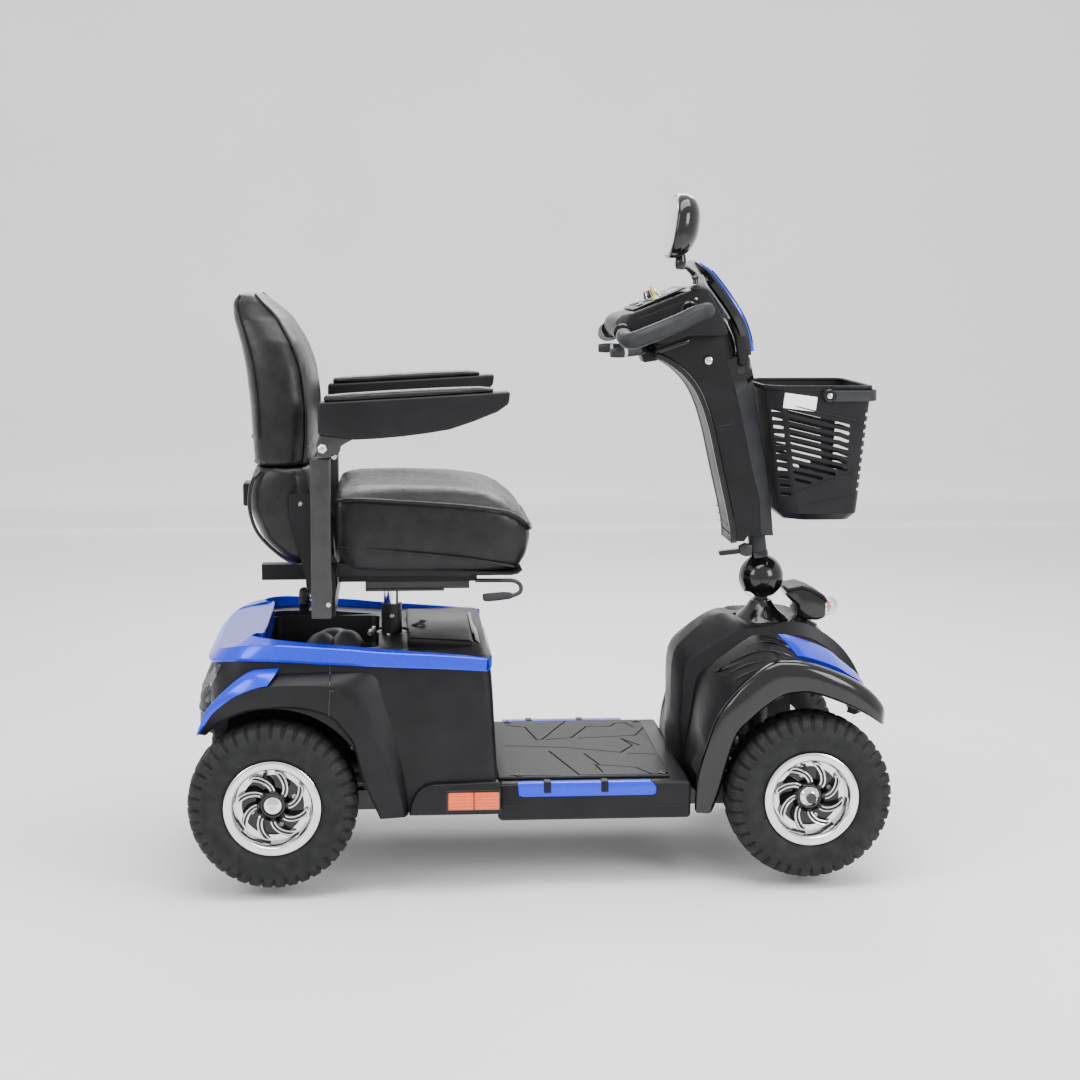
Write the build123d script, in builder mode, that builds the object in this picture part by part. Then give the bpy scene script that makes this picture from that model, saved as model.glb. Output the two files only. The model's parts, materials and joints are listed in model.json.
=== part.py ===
"""Four-wheel mobility scooter: +X forward, +Y to the rider's left, +Z up, millimetres.

The origin is on the ground, midway between the two axles. Side outlines are written as
(distance ahead of the rear axle, height above the ground) and shifted by `from_rear`.
"""
import os

from build123d import *

# ---- driving dimensions -------------------------------------------------------------
WHEELBASE = 1050.0
WHEEL_R = 165.0          # 13 x 5 pneumatic tyre
TRACK_Y = 255.0          # tyre mid-plane from the centre line
HUB_BORE_R = 10.0
REAR_X = -WHEELBASE / 2
FRONT_X = WHEELBASE / 2

WALL = 5.0               # moulded covers
RAIL_Y, RAIL_W, RAIL_Z, RAIL_H = 83.0, 30.0, 100.0, 40.0
DECK_Z = 200.0
DECK_HALF = 265.0
DECK_X = (-89.5, 297.0)

KINGPIN_Y = 170.0
KINGPIN_R = 6.0
STEER_ARM = 70.0         # knuckle arms and pitman arm, all parallel
STEM_X = 475.0
STEM_R = 12.0
BALL_Z = 558.0
BALL_R = 46.0
COLUMN_R = 17.5

FRONT_ARCH_R = 212.0
REAR_ARCH_R = 196.0
BODY_HALF = 290.0
SHROUD_HALF = 200.0

POST_X = -294.0
POST_R = 16.0
POST_TUBE_R = 21.0
SEAT_HALF = 238.0
BACK_HALF = 225.0
BACK_PIVOT = (-467.0, 744.0)
ARM_Y = 285.0
ARM_PIVOT = (-421.0, 858.0)
ARM_W = 54.0
RECEIVER_Z = (526.0, 562.0)
RECEIVER_X = (-440.0, -402.0)

SLIP = 0.06              # radial running clearance of shafts in bores


# ---- helpers ------------------------------------------------------------------------
def from_rear(points):
    """Side outline points given from the rear axle, moved to the model's frame."""
    return [(x + REAR_X, z) for x, z in points]


def side_plane(y):
    """Vertical XZ plane at this Y. A positive extrusion from it runs towards -Y."""
    return Plane.XZ.offset(-y)


def cross_plane(x):
    """Vertical YZ plane at this X. A positive extrusion from it runs towards +X."""
    return Plane.YZ.offset(x)


def slab(points, y_low, y_high, inset=0.0):
    """A side outline made solid between two Y planes, drawn in by inset all round."""
    with BuildPart() as form:
        with BuildSketch(side_plane(y_high)):
            with BuildLine():
                Polyline(*points, close=True)
            make_face()
            if inset:
                offset(amount=-inset, kind=Kind.INTERSECTION)
        extrude(amount=y_high - y_low)
    return form.part


def block(low, high):
    """An axis-aligned block from its lowest to its highest corner."""
    size = [h - l for l, h in zip(low, high)]
    centre = [(h + l) / 2 for l, h in zip(low, high)]
    return Pos(*centre) * Box(*size, mode=Mode.PRIVATE)


def rod(start, end, radius):
    """A straight round bar between two points."""
    path = Vector(*end) - Vector(*start)
    plane = Plane(origin=start, z_dir=path)
    ends = (Align.CENTER, Align.CENTER, Align.MIN)
    return plane * Cylinder(radius, path.length, align=ends, mode=Mode.PRIVATE)


def both_sides(shape):
    """The shape and its mirror image across the centre plane."""
    return [shape, shape.mirror(Plane.XZ)]


def tube_along(points, radius, bend):
    """A round bar that follows straight runs joined by bends of one radius."""
    with BuildPart() as bar:
        with BuildLine() as route:
            FilletPolyline(*points, radius=bend)
        with BuildSketch(Plane(origin=route.line @ 0, z_dir=route.line % 0)):
            Circle(radius)
        sweep()
    return bar.part


def save(piece, name):
    """Labels a finished piece and writes its STEP file."""
    piece.part.label = name
    export_step(piece.part, f"parts/{name}.step")


os.makedirs("parts", exist_ok=True)

# ---- frame --------------------------------------------------------------------------
rail_one = block(
    (-600, RAIL_Y - RAIL_W / 2, RAIL_Z), (FRONT_X - 20, RAIL_Y + RAIL_W / 2, RAIL_Z + RAIL_H)
)
rail_bore = block(
    (-610, RAIL_Y - RAIL_W / 2 + 3, RAIL_Z + 3), (FRONT_X, RAIL_Y + RAIL_W / 2 - 3, RAIL_Z + RAIL_H - 3)
)
with BuildPart() as main_rails:
    add(both_sides(rail_one))
    add(both_sides(rail_bore), mode=Mode.SUBTRACT)
save(main_rails, "main_rails")

BEAM_Z = (145.0, 185.0)
beam = block((FRONT_X - 20, -140, BEAM_Z[0]), (FRONT_X + 20, 140, BEAM_Z[1]))
beam_foot = block((FRONT_X - 20, -100, RAIL_Z), (FRONT_X + 20, 100, BEAM_Z[0]))
fork_plate = block((FRONT_X - 17, 138, 131), (FRONT_X + 17, 150, 199))
fork_top = block((FRONT_X - 15, 150, 187.5), (FRONT_X + 15, 186, 199))
fork_foot = block((FRONT_X - 15, 150, 131), (FRONT_X + 15, 186, 142.5))
kingpin = rod((FRONT_X, KINGPIN_Y, 127), (FRONT_X, KINGPIN_Y, 203), KINGPIN_R)
with BuildPart() as front_axle_frame:
    add([beam, beam_foot])
    add(both_sides(fork_plate))
    add(both_sides(fork_top))
    add(both_sides(fork_foot))
    add(both_sides(kingpin))
    with BuildSketch(Plane.XY.offset(200)):
        with Locations((STEM_X, 0)):
            Circle(STEM_R + 10)
    extrude(amount=235)
    add(block((STEM_X + 25, -14, BEAM_Z[1]), (FRONT_X + 15, 14, 330)))
    add(block((STEM_X, -14, 205), (STEM_X + 26, 14, 330)))
    with BuildSketch(Plane.XY.offset(190)):
        with Locations((STEM_X, 0)):
            Circle(STEM_R + SLIP)
    extrude(amount=260, mode=Mode.SUBTRACT)
save(front_axle_frame, "front_axle_frame")

with BuildPart() as seat_post_tube:
    with BuildSketch(Plane.XY.offset(RAIL_Z + RAIL_H)):
        with Locations((POST_X, 0)):
            Rectangle(42, 200)
    extrude(amount=6)
    with BuildSketch(Plane.XY.offset(RAIL_Z + RAIL_H)):
        with Locations((POST_X, 0)):
            Circle(POST_TUBE_R)
    extrude(amount=510 - RAIL_Z - RAIL_H)
    with BuildSketch(Plane.XY.offset(RAIL_Z + RAIL_H + 6)):
        with Locations((POST_X, 0)):
            Circle(POST_R + SLIP)
    extrude(amount=400, mode=Mode.SUBTRACT)
save(seat_post_tube, "seat_post_tube")

# ---- drive train and batteries ------------------------------------------------------
with BuildPart() as transaxle:
    with BuildSketch(side_plane(60)):
        with Locations((REAR_X, WHEEL_R)):
            RectangleRounded(100, 110, 22)
    extrude(amount=120)
    with BuildSketch(side_plane(190)):
        with Locations((REAR_X, WHEEL_R)):
            Circle(21)
    extrude(amount=380)
    with BuildSketch(side_plane(191)):
        with Locations((REAR_X, WHEEL_R)):
            Circle(HUB_BORE_R + SLIP)
    extrude(amount=131, mode=Mode.SUBTRACT)
    with BuildSketch(side_plane(-60)):
        with Locations((REAR_X, WHEEL_R)):
            Circle(HUB_BORE_R + SLIP)
    extrude(amount=131, mode=Mode.SUBTRACT)
    add(block((REAR_X - 71, 26, 180), (REAR_X - 49, 38, 200)))
    add(rod((REAR_X - 60, 37, 190), (REAR_X - 60, 52, 190), 4))
save(transaxle, "transaxle")

with BuildPart() as drive_motor:
    with BuildSketch(cross_plane(REAR_X + 50)):
        with Locations((0, WHEEL_R)):
            Circle(50)
    extrude(amount=95)
    with BuildSketch(cross_plane(REAR_X + 145)):
        with Locations((0, WHEEL_R)):
            Circle(36)
    extrude(amount=26)
save(drive_motor, "drive_motor")

battery = block((-268, 6, RAIL_Z + RAIL_H + 1), (-112, 182, 305))
with BuildPart() as batteries:
    add(both_sides(battery))
save(batteries, "batteries")

with BuildPart() as freewheel_lever:
    with BuildSketch(side_plane(48)):
        with Locations((REAR_X - 60, 190)):
            Circle(9)
        with Locations((REAR_X - 95, 190)):
            SlotCenterToCenter(70, 12)
        with Locations((REAR_X - 60, 190)):
            Circle(4 + SLIP, mode=Mode.SUBTRACT)
    extrude(amount=8)
save(freewheel_lever, "freewheel_lever")

# ---- floor --------------------------------------------------------------------------
with BuildPart() as floor_pan:
    add(block((DECK_X[0], -DECK_HALF, 128), (DECK_X[1], DECK_HALF, DECK_Z - 6)))
    add(
        block(
            (DECK_X[0] + WALL, -DECK_HALF + WALL, 120),
            (DECK_X[1] - WALL, DECK_HALF - WALL, DECK_Z - 14),
        ),
        mode=Mode.SUBTRACT,
    )
    add(
        [
            block((x, -DECK_HALF + WALL, RAIL_Z + RAIL_H), (x + 30, DECK_HALF - WALL, DECK_Z - 14))
            for x in (-60.0, 100.0, 240.0)
        ]
    )
    add(
        block((DECK_X[0], -RAIL_Y - 17, 90), (DECK_X[1], RAIL_Y + 17, RAIL_Z + RAIL_H)),
        mode=Mode.SUBTRACT,
    )
save(floor_pan, "floor_pan")

with BuildPart() as deck_mat:
    with BuildSketch(Plane.XY.offset(DECK_Z - 6)):
        with Locations(((DECK_X[0] + 257) / 2, 0)):
            RectangleRounded(257 - DECK_X[0] - 6, 470, 18)
    extrude(amount=6)
save(deck_mat, "deck_mat")

# ---- rear bodywork ------------------------------------------------------------------
REAR_SIDE = from_rear(
    [
        (-112, 450), (-48, 453), (11, 450), (94, 445), (424, 424),
        (435, 206), (435, 142), (205, 142), (205, 242), (-116, 242),
    ]
)
REAR_PLAN = [(-88, BODY_HALF), (-88, -BODY_HALF), (-600, -BODY_HALF), (-641, -205), (-641, 205), (-600, BODY_HALF)]


def rear_form(inset):
    """Rear body block inside its side and plan outlines, less the two wheel wells."""
    half = BODY_HALF - inset
    side = slab(REAR_SIDE, -half, half, inset)
    with BuildPart() as form:
        add(side)
        with BuildSketch(Plane.XY.offset(100)):
            with BuildLine():
                Polyline(*REAR_PLAN, close=True)
            corner = make_face()
            fillet([v for v in corner.vertices() if v.X < -590], 40)
            if inset:
                offset(amount=-inset, kind=Kind.INTERSECTION)
        extrude(amount=400, mode=Mode.INTERSECT)
        for low in (185 - inset, -400):
            with BuildSketch(side_plane(low + 400 - 185 + inset)):
                with Locations((REAR_X, WHEEL_R)):
                    Circle(REAR_ARCH_R + inset)
            extrude(amount=400 - 185 + inset, mode=Mode.SUBTRACT)
    return form.part


rear_outer = rear_form(0)
rear_inner = rear_form(WALL)
with BuildPart() as rear_body:
    add(rear_outer)
    add(rear_inner, mode=Mode.SUBTRACT)
    add(block((-334, -185, 130), (-98, 185, 160)), mode=Mode.SUBTRACT)
    add(block((-600, -170, 230), (-318, 170, 260)), mode=Mode.SUBTRACT)
    add(block((-585, -186, 400), (-140, 186, 470)), mode=Mode.SUBTRACT)
save(rear_body, "rear_body")

BAND_SIDE = from_rear(
    [
        (-150, 458), (-48, 455), (11, 452), (94, 447), (426, 426), (405, 448),
        (209, 467), (94, 476), (9, 484), (-70, 482), (-150, 474),
    ]
)
band_side = slab(BAND_SIDE, -286, 286)
with BuildPart() as shroud_bands:
    add(band_side)
    with BuildSketch(Plane.XY.offset(400)):
        with BuildLine():
            Polyline(
                (-95, 286), (-95, -286), (-592, -286), (-653, -180), (-653, 180), (-592, 286), close=True
            )
        outline = make_face()
        fillet([v for v in outline.vertices() if v.X < -590], 55)
        with Locations((-316, 0)):
            RectangleRounded(520, 500, 60, mode=Mode.SUBTRACT)
        with Locations((-76, 0)):
            Rectangle(90, 500, mode=Mode.SUBTRACT)
        with Locations((-370, 0)):
            Rectangle(1, 600, mode=Mode.SUBTRACT)
    extrude(amount=120, mode=Mode.INTERSECT)
save(shroud_bands, "shroud_bands")

TOP_SIDE = from_rear(
    [(-60, 462), (9, 460), (209, 452), (395, 436), (405, 428), (209, 445.5), (9, 454), (-60, 456)]
)
top_side = slab(TOP_SIDE, -249, 249)
with BuildPart() as seat_shroud:
    add(top_side)
    with BuildSketch(Plane.XY.offset(400)):
        with Locations((-344, 0)):
            RectangleRounded(460, 498, 58)
    extrude(amount=100, mode=Mode.INTERSECT)
    add(block((-560, -175, 372), (-368, 175, 456)))
    add(block((-556, -171, 377), (-372, 171, 480)), mode=Mode.SUBTRACT)
    with BuildSketch(Plane.XY.offset(360)):
        with Locations((POST_X, 0)):
            Circle(POST_TUBE_R + 4)
    extrude(amount=130, mode=Mode.SUBTRACT)
save(seat_shroud, "seat_shroud")

BUMPER_SIDE = from_rear([(-117, 300), (-151, 288), (-151, 370), (-132, 408), (-117, 436)])
bumper_outer = slab(BUMPER_SIDE, -190, 190)
bumper_inner = slab(BUMPER_SIDE, -184, 184, 6)
with BuildPart() as rear_bumper:
    add(bumper_outer)
    add(bumper_inner, mode=Mode.SUBTRACT)
save(rear_bumper, "rear_bumper")

tail_lamp = block((-652, 192, 395), (-625, 236, 440)) - rear_outer
marker = block((-187, BODY_HALF + 0.2, 153), (-88, BODY_HALF + 9, 188))
with BuildPart() as signal_lenses:
    add(both_sides(tail_lamp))
    add(both_sides(marker))
save(signal_lenses, "signal_lenses")

# ---- front bodywork -----------------------------------------------------------------
FRONT_SIDE = [
    (262, 201), (268, 228), (280, 305), (309, 386), (394, 464), (595, 460),
    (651, 412), (684, 345), (684, 300), (648, 240), (300, 240), (300, 201),
]


def front_form(inset):
    """Front shroud block with sloping shoulders, less the two wheel wells."""
    half = SHROUD_HALF - inset
    side = slab(FRONT_SIDE, -half, half, inset)
    with BuildPart() as form:
        add(side)
        with BuildSketch(cross_plane(200)):
            with BuildLine():
                Polyline(
                    (-half, 190), (-half, 400 - inset), (-half + 55, 470 - inset),
                    (half - 55, 470 - inset), (half, 400 - inset), (half, 190), close=True,
                )
            make_face()
        extrude(amount=500, mode=Mode.INTERSECT)
        for top in (half + 1, -118 + inset):
            with BuildSketch(side_plane(top)):
                with Locations((FRONT_X, WHEEL_R)):
                    Circle(FRONT_ARCH_R + inset)
            extrude(amount=half + 1 - 118 + inset, mode=Mode.SUBTRACT)
    return form.part


front_outer = front_form(0)
front_inner = front_form(WALL)
with BuildPart() as front_shroud:
    add(front_outer)
    add(front_inner, mode=Mode.SUBTRACT)
    add(block((320, -112, 230), (640, 112, 260)), mode=Mode.SUBTRACT)
    with BuildSketch(Plane.XY.offset(430)):
        with Locations((STEM_X, 0)):
            Circle(30)
    extrude(amount=60, mode=Mode.SUBTRACT)
save(front_shroud, "front_shroud")

FENDER_SIDE = [
    (300, 129), (312, 219), (328, 281), (344, 342), (381, 392), (443, 439), (532, 421),
    (605, 398), (656, 363), (683, 324), (687, 304), (640, 260), (400, 129),
]
fender_outer = slab(FENDER_SIDE, SHROUD_HALF + 1, 300)
fender_inner = slab(FENDER_SIDE, SHROUD_HALF - 10, 300 - WALL, WALL)
with BuildPart() as fender_form:
    add(fender_outer)
    add(fender_inner, mode=Mode.SUBTRACT)
    with BuildSketch(side_plane(310)):
        with Locations((FRONT_X, WHEEL_R)):
            Circle(FRONT_ARCH_R)
    extrude(amount=120, mode=Mode.SUBTRACT)
fender = fender_form.part
with BuildPart() as front_fenders:
    add(both_sides(fender))
save(front_fenders, "front_fenders")

# Coloured strips: along the deck edges, on the front shoulders and on the rear corners.
deck_strip = block((-47, DECK_HALF + 0.2, 168), (221, DECK_HALF + 6, 193))
shoulder = slab([(470, 468), (645, 372), (511, 424)], SHROUD_HALF + 2, SHROUD_HALF + 7)
corner_strip = slab(
    from_rear([(16, 432), (-33, 431), (-58, 418), (-66, 400), (-31, 404), (-10, 405)]),
    BODY_HALF + 0.2,
    BODY_HALF + 5,
)
shoulder = shoulder - slab(
    [(200, 100), (200, 444), (443, 444), (533, 426), (606, 403), (659, 368), (700, 330), (700, 100)], 150, 320
)
with BuildPart() as body_trims:
    add(both_sides(deck_strip))
    add(both_sides(shoulder))
    add(both_sides(corner_strip))
save(body_trims, "body_trims")

LAMP_X, LAMP_Z = 616.0, 494.0
LAMP_SIDE = [(536, 466), (533, 533), (560, 537), (612, 515), (616, 476), (596, 466)]
lamp_form = slab(LAMP_SIDE, -44, 44)
with BuildPart() as headlamp_body:
    add(lamp_form)
    with BuildSketch(cross_plane(LAMP_X - 14)):
        with Locations((0, LAMP_Z)):
            Circle(22)
    extrude(amount=20, mode=Mode.SUBTRACT)
save(headlamp_body, "headlamp_body")

with BuildPart() as headlamp_lens:
    with BuildSketch(Plane.XZ) as dome:
        with BuildLine():
            Line((LAMP_X - 13.5, LAMP_Z), (LAMP_X - 13.5, LAMP_Z + 21))
            Line((LAMP_X - 13.5, LAMP_Z + 21), (LAMP_X + 14, LAMP_Z + 21))
            CenterArc((LAMP_X + 14, LAMP_Z), 21, 0, 90)
            Line((LAMP_X + 35, LAMP_Z), (LAMP_X - 13.5, LAMP_Z))
        make_face()
    revolve(axis=Axis((0, 0, LAMP_Z), (1, 0, 0)))
save(headlamp_lens, "headlamp_lens")

# ---- wheels -------------------------------------------------------------------------
TYRE_OUTER = [(38, 90.2), (52, 98), (60, 125), (58, 146), (46, 161), (26, 165)]
TYRE_INNER = [(26, 90.2), (40, 106), (47, 125), (44, 140), (34, 150)]
RIM_HALF = 55.0


def mirrored(points):
    """A half section and its mirror image, as one closed chain of points."""
    return points + [(-x, r) for x, r in reversed(points)]


def tyre_at(x, side):
    """Hollow tyre of one wheel."""
    with BuildPart() as tyre:
        with BuildSketch(cross_plane(x)):
            with BuildLine():
                Polyline(
                    *[(side * TRACK_Y + o, WHEEL_R + r) for o, r in mirrored(TYRE_OUTER)],
                    *[(side * TRACK_Y - o, WHEEL_R + r) for o, r in mirrored(TYRE_INNER)],
                    close=True,
                )
            make_face()
        revolve(axis=Axis((x, 0, WHEEL_R), (0, 1, 0)))
    return tyre


def rim_at(x, side, bore, shaft):
    """Alloy wheel with a recessed web: bore clears a fixed stub axle, shaft is a driven one."""
    section = [
        (-RIM_HALF, 82), (-RIM_HALF, 96), (-RIM_HALF + 4, 96), (-RIM_HALF + 4, 90), (RIM_HALF - 4, 90),
        (RIM_HALF - 4, 96), (RIM_HALF, 96), (RIM_HALF, 82), (24, 82), (24, 30), (34, 30), (34, bore),
        (-26, bore), (-26, 30), (12, 30), (12, 82),
    ]
    with BuildPart() as rim:
        with BuildSketch(cross_plane(x)):
            with BuildLine():
                Polyline(*[(side * (TRACK_Y + o), WHEEL_R + r) for o, r in section], close=True)
            make_face()
        revolve(axis=Axis((x, 0, WHEEL_R), (0, 1, 0)))
        with BuildSketch(side_plane(side * TRACK_Y + 50)):
            with Locations((x, WHEEL_R)):
                with PolarLocations(57, 8):
                    SlotOverall(34, 22)
        extrude(amount=100, mode=Mode.SUBTRACT)
        if shaft:
            add(rod((x, side * 62, WHEEL_R), (x, side * (TRACK_Y + 40), WHEEL_R), HUB_BORE_R))
    return rim


for axle, x, bore, driven in (
    ("rear", REAR_X, HUB_BORE_R - 1, True),
    ("front", FRONT_X, HUB_BORE_R + SLIP, False),
):
    for hand, side in (("left", 1), ("right", -1)):
        save(tyre_at(x, side), f"{axle}_{hand}_tyre")
        save(rim_at(x, side, bore, driven), f"{axle}_{hand}_rim")

# ---- steering -----------------------------------------------------------------------
ARM_Z = (150.0, 160.0)
ROD_Z = (163.0, 175.0)
STUD_R = 4.0


def knuckle_at(side):
    """Steering knuckle: kingpin barrel, stub axle, trailing arm and tie-rod stud."""
    y = side * KINGPIN_Y
    with BuildPart() as knuckle:
        with BuildSketch(Plane.XY.offset(143)):
            with Locations((FRONT_X, y)):
                Circle(15)
        extrude(amount=44)
        add(rod((FRONT_X, y, WHEEL_R), (FRONT_X, side * (TRACK_Y + 50), WHEEL_R), HUB_BORE_R))
        with BuildSketch(Plane.XY.offset(ARM_Z[0])):
            with Locations((FRONT_X - STEER_ARM / 2, y)):
                SlotCenterToCenter(STEER_ARM, 18)
        extrude(amount=ARM_Z[1] - ARM_Z[0])
        add(rod((FRONT_X - STEER_ARM, y, ARM_Z[1]), (FRONT_X - STEER_ARM, y, ROD_Z[1] + 4), STUD_R))
        with BuildSketch(Plane.XY.offset(120)):
            with Locations((FRONT_X, y)):
                Circle(KINGPIN_R + SLIP)
        extrude(amount=90, mode=Mode.SUBTRACT)
    return knuckle


save(knuckle_at(1), "left_knuckle")
save(knuckle_at(-1), "right_knuckle")

ROD_X = FRONT_X - STEER_ARM
with BuildPart() as tie_rod:
    add(rod((ROD_X, 5 - KINGPIN_Y, sum(ROD_Z) / 2), (ROD_X, KINGPIN_Y - 5, sum(ROD_Z) / 2), 5))
    with BuildSketch(Plane.XY.offset(ROD_Z[0])):
        with Locations((ROD_X, KINGPIN_Y), (ROD_X, -KINGPIN_Y)):
            Circle(10)
        with Locations(((ROD_X + STEM_X - STEER_ARM) / 2, 0)):
            Rectangle(ROD_X - STEM_X + STEER_ARM, 20)
        with Locations((STEM_X - STEER_ARM, 0)):
            Circle(10)
    extrude(amount=ROD_Z[1] - ROD_Z[0])
    with BuildSketch(Plane.XY.offset(ROD_Z[0] - 5)):
        with Locations((ROD_X, KINGPIN_Y), (ROD_X, -KINGPIN_Y), (STEM_X - STEER_ARM, 0)):
            Circle(STUD_R + SLIP)
    extrude(amount=30, mode=Mode.SUBTRACT)
save(tie_rod, "tie_rod")

with BuildPart() as steering_stem:
    add(rod((STEM_X, 0, 179), (STEM_X, 0, 515), STEM_R))
    with BuildSketch(Plane.XY.offset(179)):
        with Locations((STEM_X - STEER_ARM / 2, 0)):
            SlotCenterToCenter(STEER_ARM, 20)
    extrude(amount=10)
    add(rod((STEM_X - STEER_ARM, 0, 160), (STEM_X - STEER_ARM, 0, 179), STUD_R))
    with BuildSketch(side_plane(8)):
        with Locations((STEM_X, (505 + BALL_Z) / 2)):
            SlotCenterToCenter(BALL_Z - 505, 26, rotation=90)
        with Locations((STEM_X, BALL_Z)):
            Circle(6 + SLIP, mode=Mode.SUBTRACT)
    extrude(amount=16)
save(steering_stem, "steering_stem")

with BuildPart() as stem_boot:
    with BuildSketch(Plane.XZ):
        with BuildLine():
            Polyline(
                (STEM_X + STEM_R + 0.2, 472), (STEM_X + 56, 472), (STEM_X + 44, 488), (STEM_X + 27, 502),
                (STEM_X + 22, 508), (STEM_X + STEM_R + 6, 508), (STEM_X + 38, 480),
                (STEM_X + STEM_R + 0.2, 480), close=True,
            )
        make_face()
    revolve(axis=Axis((STEM_X, 0, 0), (0, 0, 1)))
save(stem_boot, "stem_boot")

# ---- tiller -------------------------------------------------------------------------
lean = Plane(origin=(STEM_X, 0, BALL_Z), x_dir=(0, 1, 0), z_dir=(-0.1305, 0, 0.9914))
LEVER_PIVOT = (439.0, 614.0)
lug = slab([(452, 602), (452, 624), (432, 622), (432, 606)], 8, 12)
with BuildPart() as tiller_column:
    with BuildSketch(lean.offset(38)):
        Circle(COLUMN_R)
        Circle(COLUMN_R - 4, mode=Mode.SUBTRACT)
    extrude(amount=360)
    with BuildSketch(lean.offset(34)):
        Circle(COLUMN_R)
    extrude(amount=8)
    for y in (14.5, -9.5):
        with BuildSketch(side_plane(y)):
            with Locations((STEM_X, BALL_Z)):
                Circle(14)
            with BuildLine():
                Polyline(
                    (STEM_X - 14, BALL_Z), (STEM_X + 14, BALL_Z), (STEM_X + 4, BALL_Z + 38),
                    (STEM_X - 13, BALL_Z + 38), close=True,
                )
            make_face()
        extrude(amount=5)
    add(rod((STEM_X, -32, BALL_Z), (STEM_X, 32, BALL_Z), 6))
    add(both_sides(lug))
    add(rod((LEVER_PIVOT[0], -9, LEVER_PIVOT[1]), (LEVER_PIVOT[0], 9, LEVER_PIVOT[1]), 3))
save(tiller_column, "tiller_column")

with BuildPart() as ball_shells:
    with Locations((STEM_X, 0, BALL_Z)):
        Sphere(BALL_R)
        Sphere(BALL_R - 5, mode=Mode.SUBTRACT)
    with BuildSketch(lean):
        Circle(COLUMN_R + 0.3)
    extrude(amount=80, mode=Mode.SUBTRACT)
    with BuildSketch(side_plane(10)):
        with BuildLine():
            Polyline(
                (STEM_X, BALL_Z), (STEM_X - 60, BALL_Z - 60), (STEM_X + 60, BALL_Z - 60), close=True
            )
        make_face()
    extrude(amount=20, mode=Mode.SUBTRACT)
    with BuildSketch(Plane.XY.offset(BALL_Z - 50)):
        with Locations((STEM_X, 0)):
            Rectangle(68, 48)
    extrude(amount=21, mode=Mode.SUBTRACT)
    split(bisect_by=Plane.XZ, keep=Keep.BOTH)
save(ball_shells, "ball_shells")

COVER_SIDE = [
    (397, 637), (390, 682), (365, 786), (343, 880), (319, 943), (290, 980), (247, 1013), (250, 1018),
    (430, 1018), (443, 960), (488, 652), (476, 654),
]
column_room = lean * Cylinder(COLUMN_R + 1, 500, align=(Align.CENTER, Align.CENTER, Align.MIN))
cover_outer = slab(COVER_SIDE, -55, 55)
cover_inner = slab(COVER_SIDE, -51, 51, 4)
with BuildPart() as tiller_cover:
    add(cover_outer)
    add(cover_inner, mode=Mode.SUBTRACT)
    add(column_room, mode=Mode.SUBTRACT)
    add(both_sides(block((452, 22, 850), (464, 46, 862))))
    add(both_sides(block((460, 22, 850), (464, 46, 905))))
save(tiller_cover, "tiller_cover")

CONSOLE_SIDE = [
    (150, 1064), (148, 1091), (177, 1106), (300, 1159), (330, 1160), (362, 1110), (384, 1060), (384, 1019),
    (272, 1019), (272, 1048), (180, 1048),
]
console_outer = slab(CONSOLE_SIDE, -104, 104)
console_inner = slab(CONSOLE_SIDE, -100, 100, 4)
with BuildPart() as console:
    add(console_outer)
    add(console_inner, mode=Mode.SUBTRACT)
save(console, "console")

PANEL_SIDE = [
    (443, 1033), (411, 1107), (385, 1144), (351, 1190), (319, 1212), (314, 1202), (344, 1160),
    (376, 1112), (398, 1060), (400, 1020), (442, 1020),
]
panel_side = slab(PANEL_SIDE, -92, 92)
with BuildPart() as front_panel:
    add(panel_side)
    with BuildSketch(cross_plane(300)):
        with BuildLine():
            Polyline((-62, 1018), (62, 1018), (92, 1100), (60, 1213), (-60, 1213), (-92, 1100), close=True)
        make_face()
    extrude(amount=160, mode=Mode.INTERSECT)
save(front_panel, "front_panel")

LOOP = [
    (300, 104.3, 1112), (300, 170, 1112), (262, 212, 1090), (176, 212, 1055), (166, 165, 1066),
    (166, 104.3, 1066),
]
loop = tube_along(LOOP, 14, 14)
with BuildPart() as handle_loops:
    add(both_sides(loop))
save(handle_loops, "handle_loops")

THROTTLE_X = 238.0
with BuildPart() as throttle_lever:
    with BuildSketch(Plane.XY.offset(1022)):
        with Locations((THROTTLE_X, 0)):
            Circle(22)
        with Locations((THROTTLE_X - 26, 0)):
            RectangleRounded(20, 216, 8)
    extrude(amount=22)
save(throttle_lever, "throttle_lever")

dash = Plane(origin=(238.5, 0, 1132.5), x_dir=(0, 1, 0), z_dir=(-0.3957, 0, 0.9184))
with BuildPart() as speed_dial:
    with BuildSketch(dash.offset(0.4)):
        with Locations((0, 0)):
            Circle(15)
    extrude(amount=18, taper=12)
save(speed_dial, "speed_dial")

with BuildPart() as ignition_key:
    with BuildSketch(dash.offset(0.4)):
        with Locations((-58, 0)):
            Circle(5)
    extrude(amount=8)
    with BuildSketch(dash.offset(8)):
        with Locations((-58, 0)):
            RectangleRounded(20, 4, 1.5)
    extrude(amount=22)
save(ignition_key, "ignition_key")

with BuildPart() as horn_button:
    with BuildSketch(dash.offset(2.4)):
        with Locations((58, 0)):
            Circle(9)
    extrude(amount=5)
save(horn_button, "horn_button")

with BuildPart() as tilt_lever:
    with BuildSketch(side_plane(7.5)):
        with Locations(LEVER_PIVOT):
            Circle(7)
        with Locations((LEVER_PIVOT[0] - 26, LEVER_PIVOT[1] - 3)):
            SlotOverall(58, 10, rotation=6)
        with Locations(LEVER_PIVOT):
            Circle(3 + SLIP, mode=Mode.SUBTRACT)
    extrude(amount=15)
save(tilt_lever, "tilt_lever")

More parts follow.
